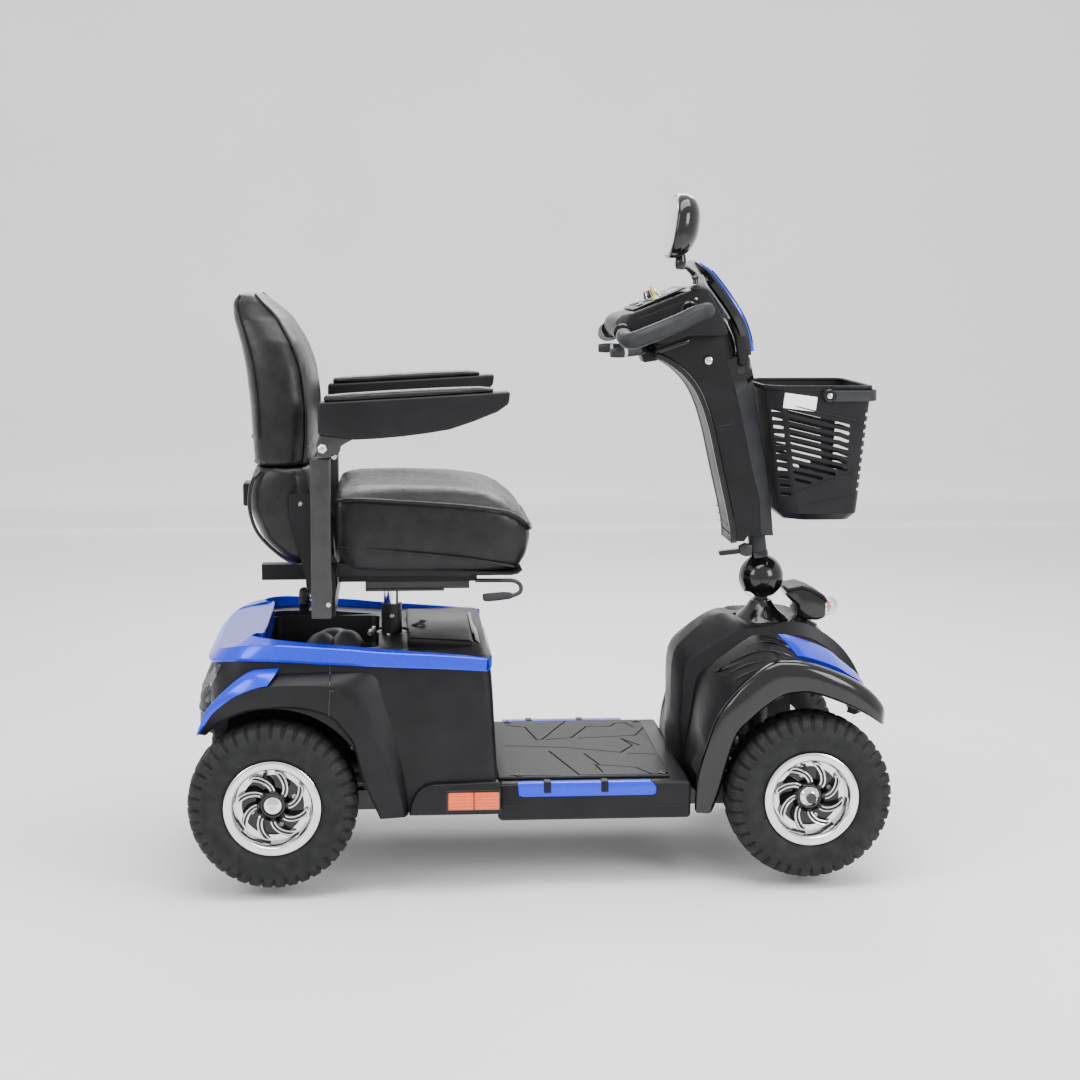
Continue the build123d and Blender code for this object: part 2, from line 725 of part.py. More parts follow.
MIRROR = (262.0, -222.0, 1274.0)
STALK = [(312, -98, 1163), (312, -98, 1176), (262, -222, 1204), (262, -222, 1224)]
stalk = tube_along(STALK, 5, 6)
with BuildPart() as mirror_stalk:
    add(stalk)
    add(rod((312, -98, 1160.5), (312, -98, 1170), 9))
save(mirror_stalk, "mirror_stalk")

with BuildPart() as mirror_housing:
    with BuildSketch(cross_plane(MIRROR[0] - 20)):
        with Locations((MIRROR[1], MIRROR[2])):
            Ellipse(78, 62)
    with BuildSketch(cross_plane(MIRROR[0] + 8)):
        with Locations((MIRROR[1], MIRROR[2])):
            Ellipse(70, 54)
    with BuildSketch(cross_plane(MIRROR[0] + 27)):
        with Locations((MIRROR[1], MIRROR[2])):
            Ellipse(40, 28)
    loft(ruled=True)
    with BuildSketch(cross_plane(MIRROR[0] - 21)):
        with Locations((MIRROR[1], MIRROR[2])):
            Ellipse(73, 57)
    extrude(amount=5, mode=Mode.SUBTRACT)
    add(rod((MIRROR[0], MIRROR[1], 1204), (MIRROR[0], MIRROR[1], 1228), 5.5), mode=Mode.SUBTRACT)
save(mirror_housing, "mirror_housing")

with BuildPart() as mirror_glass:
    with BuildSketch(cross_plane(MIRROR[0] - 19.5)):
        with Locations((MIRROR[1], MIRROR[2])):
            Ellipse(72.5, 56.5)
    extrude(amount=3)
save(mirror_glass, "mirror_glass")

# ---- basket -------------------------------------------------------------------------
BASKET_BASE = ((493, 648), 112, 690)
BASKET_RIM = ((452, 668), 138, 962)
BASKET_WALL = 4.0


def basket_form(inset, floor):
    """Tapered tub between the base and the rim outlines."""
    (x0, x1), half0, z0 = BASKET_BASE
    (x2, x3), half1, z1 = BASKET_RIM
    with BuildPart() as form:
        with BuildSketch(Plane.XY.offset(z0 + floor)):
            with Locations(((x0 + x1) / 2, 0)):
                RectangleRounded(x1 - x0 - 2 * inset, 2 * (half0 - inset), 26)
        with BuildSketch(Plane.XY.offset(z1 + floor)):
            with Locations(((x2 + x3) / 2, 0)):
                RectangleRounded(x3 - x2 - 2 * inset, 2 * (half1 - inset), 26)
        loft()
    return form.part


basket_outer = basket_form(0, 0)
basket_inner = basket_form(BASKET_WALL, BASKET_WALL)
with BuildPart() as basket:
    add(basket_outer)
    add(basket_inner, mode=Mode.SUBTRACT)
    for z in (760, 800, 840, 880):
        add(block((500, -200, z), (640, 200, z + 16)), mode=Mode.SUBTRACT)
    add(both_sides(block((440, 20, 846), (486, 48, 912))), mode=Mode.SUBTRACT)
save(basket, "basket")

BAIL_X, BAIL_Z = 577.0, 944.0
with BuildPart() as basket_handle:
    add(both_sides(block((BAIL_X - 8, 142, BAIL_Z - 8), (676, 147, BAIL_Z + 8))))
    add(block((670.5, -147, BAIL_Z - 8), (676, 147, BAIL_Z + 8)))
save(basket_handle, "basket_handle")

# ---- seat ---------------------------------------------------------------------------
with BuildPart() as seat_post:
    add(rod((POST_X, 0, 300), (POST_X, 0, 556), POST_R))
save(seat_post, "seat_post")

rail_low = block((-345, 140, 566), (-140, 160, 580))
with BuildPart() as seat_base:
    add(rod((POST_X, 0, 556), (POST_X, 0, 562), 48))
    add(block((-345, -165, 562), (-190, 165, 566)))
    add(both_sides(rail_low))
save(seat_base, "seat_base")

rail_high = block((-398, 136, 581), (-125, 164, 596))
bracket = slab([(-440, 530), (-402, 530), (-402, 603), (-446, 764), (-488, 764), (-488, 722)], 231, 237)
(rx0, rx1), (rz0, rz1) = RECEIVER_X, RECEIVER_Z
with BuildPart() as seat_carriage:
    add(both_sides(rail_high))
    add(block((-402, -190, 596), (-96, 190, 603)))
    add(block((rx0, -237, rz0), (rx1, 237, rz1)))
    add(block((-416, -60, rz1 - 1), (-402, 60, 603)))
    add(block((-557, -16, rz1), (-416, 16, rz1 + 32)))
    add(block((-558, -11, rz1 + 5), (-470, 11, rz1 + 27)), mode=Mode.SUBTRACT)
    add(both_sides(bracket))
    add(both_sides(block((-435, 40, 529), (-407, 260, 557))), mode=Mode.SUBTRACT)
    add(both_sides(rod((-445, 150, 543), (-430, 150, 543), 4 + SLIP)), mode=Mode.SUBTRACT)
    add(both_sides(rod((BACK_PIVOT[0], 229, BACK_PIVOT[1]), (BACK_PIVOT[0], 240, BACK_PIVOT[1]), 6 + SLIP)), mode=Mode.SUBTRACT)
save(seat_carriage, "seat_carriage")

CUSHION_SIDE = [
    (-404, 670), (-402, 738), (-388, 770), (-271, 777), (-170, 773), (-109, 766), (-78, 755), (-52, 737),
    (-31, 719), (-20, 693), (-18, 674), (-29, 642), (-45, 613), (-60, 604), (-380, 604), (-396, 625),
]
cushion_side = slab(CUSHION_SIDE, -SEAT_HALF, SEAT_HALF)
with BuildPart() as seat_cushion:
    add(cushion_side)
    with BuildSketch(Plane.XY.offset(600)):
        with Locations((-211, 0)):
            RectangleRounded(388, 2 * SEAT_HALF, 55)
    extrude(amount=190, mode=Mode.INTERSECT)
save(seat_cushion, "seat_cushion")

BACK_SIDE = [
    (-600, 1094), (-583, 1037), (-574, 995), (-565, 918), (-562, 868), (-561, 819), (-553, 808), (-573, 766),
    (-572, 727), (-546, 669), (-512, 637), (-499, 626), (-446, 640), (-430, 700), (-434, 790), (-436, 932),
    (-443, 1002), (-463, 1051), (-491, 1096), (-535, 1131), (-568, 1145), (-600, 1129),
]
back_side = slab(BACK_SIDE, -BACK_HALF, BACK_HALF)
with BuildPart() as backrest:
    add(back_side)
    with BuildSketch(cross_plane(-620)):
        with BuildLine():
            Polyline(
                (-190, 620), (190, 620), (BACK_HALF, 660), (BACK_HALF, 930), (190, 1080), (130, 1146),
                (-130, 1146), (-190, 1080), (-BACK_HALF, 930), (-BACK_HALF, 660), close=True,
            )
        make_face()
    extrude(amount=240, mode=Mode.INTERSECT)
    add(both_sides(rod((BACK_PIVOT[0], 220, BACK_PIVOT[1]), (BACK_PIVOT[0], 241, BACK_PIVOT[1]), 6)))
save(backrest, "backrest")

PAD_SIDE = [
    (-430, 945), (-68, 966), (-70, 942), (-92, 926), (-137, 908), (-182, 893), (-224, 886), (-272, 880),
    (-361, 876), (-430, 876),
]
for hand, side in (("left", 1), ("right", -1)):
    y0, y1 = sorted((side * (ARM_Y - ARM_W / 2), side * (ARM_Y + ARM_W / 2)))
    bar = [block((-434, ARM_Y - 13, 530), (-408, ARM_Y + 13, 858)), block((-434, 60, 530), (-408, ARM_Y, 556))]
    hinge_eye = rod((ARM_PIVOT[0], ARM_Y - 13, ARM_PIVOT[1]), (ARM_PIVOT[0], ARM_Y + 13, ARM_PIVOT[1]), 13)
    pin = rod((ARM_PIVOT[0], ARM_Y - 24, ARM_PIVOT[1]), (ARM_PIVOT[0], ARM_Y + 24, ARM_PIVOT[1]), 5)
    cheek = slab([(-433, 846), (-408, 846), (-388, 860), (-384, 877), (-433, 877)], ARM_Y + 15, ARM_Y + 23)
    cheek_in = slab([(-433, 846), (-408, 846), (-388, 860), (-384, 877), (-433, 877)], ARM_Y - 23, ARM_Y - 15)
    eye = rod((ARM_PIVOT[0], ARM_Y - 30, ARM_PIVOT[1]), (ARM_PIVOT[0], ARM_Y + 30, ARM_PIVOT[1]), 5 + SLIP)
    post_pieces = bar + [hinge_eye, pin]
    rest_pieces = [cheek, cheek_in]
    if side < 0:
        post_pieces = [p.mirror(Plane.XZ) for p in post_pieces]
        rest_pieces = [p.mirror(Plane.XZ) for p in rest_pieces]
        eye = eye.mirror(Plane.XZ)
    pad = slab(PAD_SIDE, y0, y1)
    with BuildPart() as arm_post:
        add(post_pieces)
    save(arm_post, f"{hand}_arm_post")
    with BuildPart() as armrest:
        add(pad)
        add(rest_pieces)
        add(eye, mode=Mode.SUBTRACT)
    save(armrest, f"{hand}_armrest")
    with BuildPart() as arm_knob:
        add(rod((-475, side * 150, 543), (-455, side * 150, 543), 28))
        add(rod((-455, side * 150, 543), (-436, side * 150, 543), 4))
    save(arm_knob, f"{hand}_arm_knob")

lever_rod = tube_along([(-130, -200, 588), (-52, -222, 588), (-46, -226, 564), (-72, -228, 561)], 4, 5)
with BuildPart() as seat_lever:
    add(lever_rod)
    add(rod((-118, -230, 559), (-66, -228, 561), 8))
save(seat_lever, "seat_lever")
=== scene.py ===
"""Looks of a four-wheel mobility scooter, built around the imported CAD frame.

+X is forward, +Y is the rider's left, +Z is up. Meshes, radii, bevels and turned profiles are in
metres. Places and outlines are in millimetres: `mm` and `outline` take X ahead of the rear axle,
and `at` and `side`, for the tiller and the basket, take X in the frame.
"""
import json
import math

import bmesh
import bpy
import numpy as np
from mathutils import Matrix, Vector

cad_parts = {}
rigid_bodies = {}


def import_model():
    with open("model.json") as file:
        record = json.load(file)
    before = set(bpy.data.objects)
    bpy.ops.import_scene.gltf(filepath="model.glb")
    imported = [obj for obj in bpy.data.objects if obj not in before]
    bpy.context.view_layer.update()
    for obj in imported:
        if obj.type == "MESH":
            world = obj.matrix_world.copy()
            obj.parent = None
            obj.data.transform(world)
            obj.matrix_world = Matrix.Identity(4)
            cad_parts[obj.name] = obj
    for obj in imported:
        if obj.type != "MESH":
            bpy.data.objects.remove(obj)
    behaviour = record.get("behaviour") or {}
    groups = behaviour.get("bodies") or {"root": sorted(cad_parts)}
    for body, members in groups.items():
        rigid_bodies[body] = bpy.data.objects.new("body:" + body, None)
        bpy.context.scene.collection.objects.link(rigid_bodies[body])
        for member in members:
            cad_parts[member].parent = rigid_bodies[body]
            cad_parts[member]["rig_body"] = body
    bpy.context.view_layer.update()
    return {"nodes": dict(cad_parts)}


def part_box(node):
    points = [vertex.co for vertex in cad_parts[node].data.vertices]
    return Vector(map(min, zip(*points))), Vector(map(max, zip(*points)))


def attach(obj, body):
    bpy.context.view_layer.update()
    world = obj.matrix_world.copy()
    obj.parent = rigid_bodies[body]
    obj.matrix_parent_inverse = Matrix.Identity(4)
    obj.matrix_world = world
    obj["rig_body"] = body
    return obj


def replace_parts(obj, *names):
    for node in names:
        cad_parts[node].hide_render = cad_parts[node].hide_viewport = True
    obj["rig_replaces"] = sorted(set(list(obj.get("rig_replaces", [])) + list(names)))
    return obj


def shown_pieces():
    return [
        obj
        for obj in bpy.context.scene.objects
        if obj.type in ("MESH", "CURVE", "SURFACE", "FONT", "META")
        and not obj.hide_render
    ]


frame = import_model()

rear_low, rear_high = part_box("rear_left_tyre")
front_low, front_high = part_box("front_left_tyre")
REAR_AXLE = (rear_low.x + rear_high.x) / 2
FRONT_AXLE = (front_low.x + front_high.x) / 2
WHEEL_R = rear_high.z / 2
TRACK_Y = (rear_low.y + rear_high.y) / 2
HAND = {"left": 1, "right": -1}
SIDES = ((-1, "right"), (1, "left"))
AHEAD, ACROSS, UP = (1, 0, 0), (0, 1, 0), (0, 0, 1)
TIP = 0.0001  # the radius that closes a turned profile on its axis


# ---- geometry helpers ---------------------------------------------------------------
def mm(x, y, z):
    """A point in millimetres from the rear axle, as frame metres."""
    return Vector((x / 1000 + REAR_AXLE, y / 1000, z / 1000))


def outline(points):
    """(x, z) outline points in millimetres from the rear axle, as frame metres."""
    return [(x / 1000 + REAR_AXLE, z / 1000) for x, z in points]


def smooth_chain(points, steps=6, closed=False):
    """Catmull-Rom chain through points of any dimension."""
    pts = [np.array(p, float) for p in points]
    count = len(pts)
    spans = count if closed else count - 1
    chain = []
    for i in range(spans):
        a = pts[(i - 1) % count] if closed or i > 0 else pts[0] * 2 - pts[1]
        b, c = pts[i], pts[(i + 1) % count]
        d = pts[(i + 2) % count] if closed or i + 2 < count else c * 2 - b
        for k in range(steps):
            t = k / steps
            square, cube = 2 * a - 5 * b + 4 * c - d, 3 * b - a - 3 * c + d
            chain.append(0.5 * (2 * b + (c - a) * t + square * t**2 + cube * t**3))
    if not closed:
        chain.append(pts[-1])
    return chain


def show(name, mesh, body, material, angle=35.0):
    """Links a mesh as a piece of one body, shaded smooth up to an edge angle."""
    obj = bpy.data.objects.new(name, mesh)
    bpy.context.scene.collection.objects.link(obj)
    mesh.materials.append(material)
    mesh.shade_smooth()
    mesh.set_sharp_from_angle(angle=math.radians(angle))
    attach(obj, body)
    return obj


def outward(mesh):
    """Turns all faces of a closed mesh outwards."""
    bm = bmesh.new()
    bm.from_mesh(mesh)
    bmesh.ops.recalc_face_normals(bm, faces=bm.faces)
    bm.to_mesh(mesh)
    bm.free()


def piece(name, verts, faces, body, material, angle=35.0):
    """A piece from vertices and faces."""
    mesh = bpy.data.meshes.new(name)
    mesh.from_pydata([tuple(v) for v in verts], [], faces)
    mesh.validate()
    outward(mesh)
    return show(name, mesh, body, material, angle)


def baked(obj, angle=35.0):
    """Applies all modifiers of a piece."""
    graph = bpy.context.evaluated_depsgraph_get()
    mesh = bpy.data.meshes.new_from_object(obj.evaluated_get(graph))
    obj.modifiers.clear()
    obj.data = mesh
    mesh.shade_smooth()
    mesh.set_sharp_from_angle(angle=math.radians(angle))
    return obj


def bevelled(obj, width, segments=3, limit=30.0, angle=40.0):
    """Rounds the sharp edges of a piece."""
    bevel = obj.modifiers.new("bevel", "BEVEL")
    bevel.width = width
    bevel.segments = segments
    bevel.limit_method = "ANGLE"
    bevel.angle_limit = math.radians(limit)
    return baked(obj, angle)


def subdivided(obj, angle=60.0):
    """Smooths a piece by one level of subdivision."""
    surface = obj.modifiers.new("subdivide", "SUBSURF")
    surface.levels = 1
    return baked(obj, angle)


def cut(obj, *cutters, angle=35.0):
    """Removes each cutter's volume from a piece, and the cutter itself."""
    for cutter in cutters:
        boolean = obj.modifiers.new("cut", "BOOLEAN")
        boolean.object = cutter
        boolean.operation = "DIFFERENCE"
        boolean.solver = "EXACT"
        baked(obj, angle)
        bpy.data.objects.remove(cutter)
    return obj


def joined(name, objs):
    """Joins pieces of one body into the first one."""
    with bpy.context.temp_override(
        active_object=objs[0], selected_editable_objects=objs, selected_objects=objs
    ):
        bpy.ops.object.join()
    objs[0].name = name
    return objs[0]


def slab(name, points, y_one, y_other, body, material, bevel=0.0, segments=3):
    """A side outline of frame (x, z) points made solid between two Y planes, in either order."""
    count = len(points)
    verts = [(x, y, z) for y in sorted((y_one, y_other)) for x, z in points]
    faces = [tuple(range(count)), tuple(range(2 * count - 1, count - 1, -1))]
    faces += [(i, (i + 1) % count, (i + 1) % count + count, i + count) for i in range(count)]
    obj = piece(name, verts, faces, body, material)
    return bevelled(obj, bevel, segments) if bevel else obj


def block(name, low, high, body, material, bevel=0.0, segments=3):
    """A box between two corners, with rounded edges."""
    x0, y0, z0 = low
    x1, y1, z1 = high
    return slab(name, [(x0, z0), (x1, z0), (x1, z1), (x0, z1)], y0, y1, body, material, bevel, segments)


def void(low, high, bevel=0.0):
    """A box to cut away."""
    return block("cutter", low, high, "chassis", SATIN, bevel)


def bore(place, axis, start, stop, radius, steps):
    """A cylinder to cut away, between two distances along its axis."""
    return turned(
        "cutter", [(start, radius), (stop, radius), (stop, TIP)], place, axis, "chassis", SATIN, steps,
    )


def loft(name, rings, body, material, caps=True, closed=True, angle=35.0):
    """A skin through rings of equal length."""
    count = len(rings[0])
    verts = [v for ring in rings for v in ring]
    faces = []
    last = count if closed else count - 1
    for r in range(len(rings) - 1):
        for i in range(last):
            a, b = r * count + i, r * count + (i + 1) % count
            faces.append((a, b, b + count, a + count))
    if caps:
        faces.append(tuple(range(count - 1, -1, -1)))
        faces.append(tuple(range((len(rings) - 1) * count, len(rings) * count)))
    return piece(name, verts, faces, body, material, angle)


def oval(centre, u, v, half_u, half_v, power=2.0, steps=32):
    """A superellipse ring about centre, in the plane of the unit vectors u and v."""
    ring = []
    for k in range(steps):
        t = 2 * math.pi * k / steps
        c, s = math.cos(t), math.sin(t)
        du = math.copysign(abs(c) ** (2 / power), c) * half_u
        dv = math.copysign(abs(s) ** (2 / power), s) * half_v
        ring.append(Vector(centre) + Vector(u) * du + Vector(v) * dv)
    return ring


def turned(name, profile, origin, axis, body, material, steps=48, angle=35.0):
    """A solid of revolution: profile holds (distance along the axis, radius) pairs."""
    axis = Vector(axis).normalized()
    side = axis.orthogonal().normalized()
    other = axis.cross(side)
    rings = []
    for along, radius in profile:
        ring = []
        for k in range(steps):
            t = 2 * math.pi * k / steps
            ring.append(Vector(origin) + axis * along + (side * math.cos(t) + other * math.sin(t)) * radius)
        rings.append(ring)
    return loft(name, rings, body, material, angle=angle)


def tube(name, points, radius, body, material, steps=16, smooth=6, closed=False):
    """A round bar along a smooth chain; radius may be a list with one value per point."""
    radii = radius if isinstance(radius, (list, tuple)) else [radius] * len(points)
    chain = smooth_chain([(*p, r) for p, r in zip(points, radii)], smooth, closed)
    centres = [Vector(c[:3]) for c in chain]
    count = len(centres)
    rings = []
    normal = None
    for i, c in enumerate(centres):
        before = centres[(i - 1) % count] if closed or i > 0 else c
        after = centres[(i + 1) % count] if closed or i < count - 1 else c
        tangent = (after - before).normalized()
        if normal is None:
            normal = tangent.orthogonal().normalized()
        normal = (normal - tangent * normal.dot(tangent)).normalized()
        across = tangent.cross(normal)
        r = float(chain[i][3])
        turns = [2 * math.pi * k / steps for k in range(steps)]
        rings.append([c + (normal * math.cos(t) + across * math.sin(t)) * r for t in turns])
    if closed:
        # the last ring is the first one, turned to where its points meet the ring before it
        first = rings[0]
        start = min(range(steps), key=lambda k: (rings[-1][k] - first[0]).length)
        rings.append([first[(k - start) % steps] for k in range(steps)])
    return loft(name, rings, body, material, caps=not closed)


def mirrored_copy(obj, name):
    """The piece's mirror image across the centre plane."""
    mesh = obj.data.copy()
    mesh.transform(Matrix.Diagonal((1, -1, 1, 1)))
    mesh.flip_normals()
    twin = bpy.data.objects.new(name, mesh)
    bpy.context.scene.collection.objects.link(twin)
    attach(twin, obj["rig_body"])
    return twin


def both(name, make):
    """Makes a piece on the near side, with -Y, and its mirror image."""
    near = make(f"{name}_right")
    return near, mirrored_copy(near, f"{name}_left")


# ---- materials ----------------------------------------------------------------------
class Look:
    """A Principled material whose colour, roughness and bump come from object-space noise."""

    def __init__(self, name, color, roughness, metallic=0.0, **sockets):
        self.material = bpy.data.materials.new(name)
        self.material.use_nodes = True
        self.tree = self.material.node_tree
        self.shader = self.tree.nodes["Principled BSDF"]
        self.color = (*color, 1.0)
        self.material.diffuse_color = self.color
        self.fill(self.shader, Base_Color=self.color, Roughness=roughness, Metallic=metallic, **sockets)
        self.place = self.tree.nodes.new("ShaderNodeTexCoord").outputs["Object"]
        self.height = None

    def fill(self, node, **sockets):
        """Sets sockets by name, with _ for each space."""
        for socket, value in sockets.items():
            node.inputs[socket.replace("_", " ")].default_value = value
        return node

    def node(self, kind, source, socket, **values):
        """A node fed by the source at one socket."""
        made = self.fill(self.tree.nodes.new(kind), **values)
        self.tree.links.new(source, made.inputs[socket])
        return made

    def drive(self, source, socket):
        """Feeds a socket of the shader."""
        self.tree.links.new(source, self.shader.inputs[socket])

    def noise(self, scale, detail=3.0, roughness=0.5, stretch=(1, 1, 1)):
        """Noise in object space, in cycles per metre."""
        mapping = self.node("ShaderNodeMapping", self.place, "Vector", Scale=stretch)
        vector = mapping.outputs["Vector"]
        made = self.node(
            "ShaderNodeTexNoise", vector, "Vector", Scale=scale, Detail=detail, Roughness=roughness,
        )
        return made.outputs["Fac"]

    def cells(self, scale, feature="DISTANCE_TO_EDGE"):
        """Voronoi cells in object space, in cycles per metre."""
        made = self.node("ShaderNodeTexVoronoi", self.place, "Vector", Scale=scale)
        made.feature = feature
        return made.outputs["Distance"]

    def span(self, source, low, high, start, stop):
        """The source remapped from start..stop to low..high."""
        ends = {"From Min": start, "From Max": stop, "To Min": low, "To Max": high}
        return self.node("ShaderNodeMapRange", source, "Value", **ends).outputs["Result"]

    def vary_roughness(self, source, low, high):
        """Spreads the roughness over a range."""
        self.drive(self.span(source, low, high, 0.3, 0.7), "Roughness")

    def vary_color(self, source, other):
        """Mixes the base colour with another one."""
        mix = self.tree.nodes.new("ShaderNodeMix")
        mix.data_type = "RGBA"
        self.fill(mix, A=self.color, B=(*other, 1.0))
        factor = self.span(source, 0.0, 1.0, 0.35, 0.65)
        self.tree.links.new(factor, mix.inputs["Factor"])
        self.drive(mix.outputs["Result"], "Base Color")

    def bump(self, source, distance, strength):
        """Adds a bump layer of this depth in metres over the earlier ones."""
        made = self.node("ShaderNodeBump", source, "Height", Distance=distance, Strength=strength)
        if self.height is not None:
            self.tree.links.new(self.height, made.inputs["Normal"])
        self.height = made.outputs["Normal"]
        self.drive(self.height, "Normal")


def satin_plastic(name, color=(0.006, 0.006, 0.007), roughness=(0.34, 0.46)):
    """Fine-grained moulded plastic."""
    look = Look(name, color, roughness[0], Specular_IOR_Level=0.22)
    look.vary_roughness(look.noise(9.0, 4.0), *roughness)
    look.vary_color(look.noise(14.0, 3.0), tuple(c * 1.6 for c in color))
    look.bump(look.noise(2600.0, 2.0), 0.00006, 0.35)
    return look.material


def gloss_plastic(name, color, roughness=0.12):
    """Polished plastic with a thin coat."""
    look = Look(name, color, roughness, Specular_IOR_Level=0.35, Coat_Weight=0.3, Coat_Roughness=0.06)
    look.vary_roughness(look.noise(12.0, 4.0), roughness * 0.7, roughness * 1.5)
    look.vary_color(look.noise(22.0, 3.0), tuple(min(1.0, c * 1.25) for c in color))
    look.bump(look.noise(60.0, 2.0), 0.0001, 0.12)
    return look.material


def painted_blue():
    """Metallic paint with fine flakes."""
    look = Look(
        "metallic_blue", (0.006, 0.022, 0.62), 0.3, 0.35, Specular_IOR_Level=0.25, Coat_Weight=0.35,
        Coat_Roughness=0.05,
    )
    look.vary_color(look.noise(1800.0, 2.0), (0.01, 0.045, 0.92))
    look.vary_roughness(look.noise(900.0, 2.0), 0.2, 0.3)
    look.bump(look.noise(1500.0, 2.0), 0.00003, 0.25)
    return look.material


def leatherette():
    """Creased artificial leather."""
    look = Look("black_leatherette", (0.006, 0.0058, 0.0058), 0.36, Specular_IOR_Level=0.28)
    look.vary_color(look.noise(30.0, 4.0), (0.012, 0.011, 0.0105))
    look.vary_roughness(look.noise(70.0, 5.0), 0.27, 0.42)
    look.bump(look.noise(160.0, 4.0), 0.0006, 0.3)
    look.bump(look.cells(520.0), 0.0003, 0.55)
    return look.material


def tyre_rubber():
    """Dusty black rubber."""
    look = Look("tyre_rubber", (0.007, 0.0074, 0.0076), 0.62, Specular_IOR_Level=0.25)
    look.vary_color(look.noise(45.0, 5.0), (0.014, 0.0144, 0.0144))
    look.vary_roughness(look.noise(35.0, 4.0), 0.5, 0.72)
    look.bump(look.noise(1300.0, 3.0), 0.00012, 0.4)
    return look.material


def mat_rubber():
    """Pebbled rubber of the deck mat."""
    look = Look("mat_rubber", (0.011, 0.011, 0.012), 0.55, Specular_IOR_Level=0.3)
    look.vary_color(look.noise(60.0, 5.0), (0.019, 0.019, 0.02))
    look.bump(look.cells(700.0, "F1"), 0.0003, 0.5)
    return look.material


def metal(name, color, roughness, stretch=(1, 1, 1), depth=0.00003):
    """Bare metal; a stretch draws its grain out."""
    look = Look(name, color, roughness, 1.0)
    look.vary_roughness(look.noise(180.0, 4.0, 0.6, stretch), roughness * 0.7, roughness * 1.5)
    look.vary_color(look.noise(25.0, 3.0), tuple(c * 0.86 for c in color))
    look.bump(look.noise(700.0, 3.0, 0.6, stretch), depth, 0.3)
    return look.material


def powder_coat():
    """Black powder coat of the steel parts."""
    color = (0.011, 0.011, 0.012)
    look = Look("powder_coat", color, 0.42, Coat_Weight=0.15, Coat_Roughness=0.3)
    look.vary_color(look.noise(40.0, 4.0), tuple(c * 1.7 for c in color))
    look.vary_roughness(look.noise(20.0, 4.0), 0.34, 0.5)
    look.bump(look.noise(1400.0, 2.0), 0.00012, 0.4)
    return look.material


def lens(name, color, transmission, roughness=0.05, emission=0.0):
    """Clear or tinted lamp plastic."""
    look = Look(name, color, roughness, Transmission_Weight=transmission, IOR=1.49, Coat_Weight=0.4)
    look.bump(look.noise(260.0, 1.0), 0.0002, 0.15)
    look.vary_roughness(look.noise(40.0, 2.0), roughness, roughness * 1.8)
    if emission:
        look.fill(look.shader, Emission_Color=look.color, Emission_Strength=emission)
    return look.material


SATIN = satin_plastic("satin_black")
GRAINED = satin_plastic("grained_black", (0.008, 0.008, 0.009), (0.46, 0.6))
GREY = satin_plastic("charcoal_grey", (0.02, 0.021, 0.024), (0.4, 0.52))
# pale grey: the real colour of the throttle rings and gauge segments, and painted highlight on the inner band of
# the console's front panel
PALE_AND_PAINTED_HIGHLIGHT = satin_plastic("pale_grey", (0.42, 0.45, 0.47), (0.4, 0.5))
GLOSS = gloss_plastic("gloss_black", (0.004, 0.004, 0.0045))
BLUE = painted_blue()
LEATHER = leatherette()
TYRE = tyre_rubber()
MAT = mat_rubber()
SOFT_GRIP = satin_plastic("soft_grip", (0.02, 0.021, 0.023), (0.42, 0.55))
STEEL = powder_coat()
ALLOY = metal("polished_alloy", (0.86, 0.86, 0.87), 0.16)
BRUSHED = metal("brushed_steel", (0.5, 0.5, 0.5), 0.3, (1, 1, 12))
CHROME = metal("chrome", (0.85, 0.85, 0.87), 0.07)
ZINC = metal("zinc_bolt", (0.7, 0.69, 0.64), 0.28)
CAST = metal("cast_aluminium", (0.42, 0.42, 0.43), 0.5, depth=0.0002)
AMBER = lens("amber_lens", (0.85, 0.11, 0.004), 0.15, 0.12, 0.1)
CLEAR = lens("clear_lens", (0.93, 0.95, 0.97), 0.9)
YELLOW = gloss_plastic("yellow_plastic", (0.75, 0.62, 0.05), 0.3)
RED = gloss_plastic("red_plastic", (0.6, 0.03, 0.02), 0.3)
WHITE = satin_plastic("white_plate", (0.75, 0.76, 0.77), (0.35, 0.45))
MIRROR = metal("mirror_glass", (0.93, 0.94, 0.95), 0.02)


# ---- CAD nodes that keep their shape -----------------------------------------------
def dress(node, material, bevel=0.001, segments=2):
    """Gives a CAD node its material and soft edges."""
    obj = frame["nodes"][node]
    obj.data.materials.clear()
    obj.data.materials.append(material)
    for polygon in obj.data.polygons:
        polygon.material_index = 0
    if bevel:
        edge = obj.modifiers.new("edges", "BEVEL")
        edge.width = bevel
        edge.segments = segments
        edge.limit_method = "ANGLE"
        edge.angle_limit = math.radians(30.0)


# ---- wheels -------------------------------------------------------------------------
LUGS = 40
STEPS_PER_LUG = 10
SPOKES = 8
TREAD_START_R, TREAD_FADE = 0.1385, 0.0035  # lugs grow from this radius on, over this height
LUG_DEPTH, GROOVE_DEPTH, GROOVE_Y = 0.0045, 0.0035, 0.012
HUB_FACE = 0.028  # from the wheel's centre plane
SPOKE_FROM, SPOKE_SPAN, SPOKE_RISE = 0.025, 0.043, 0.0035


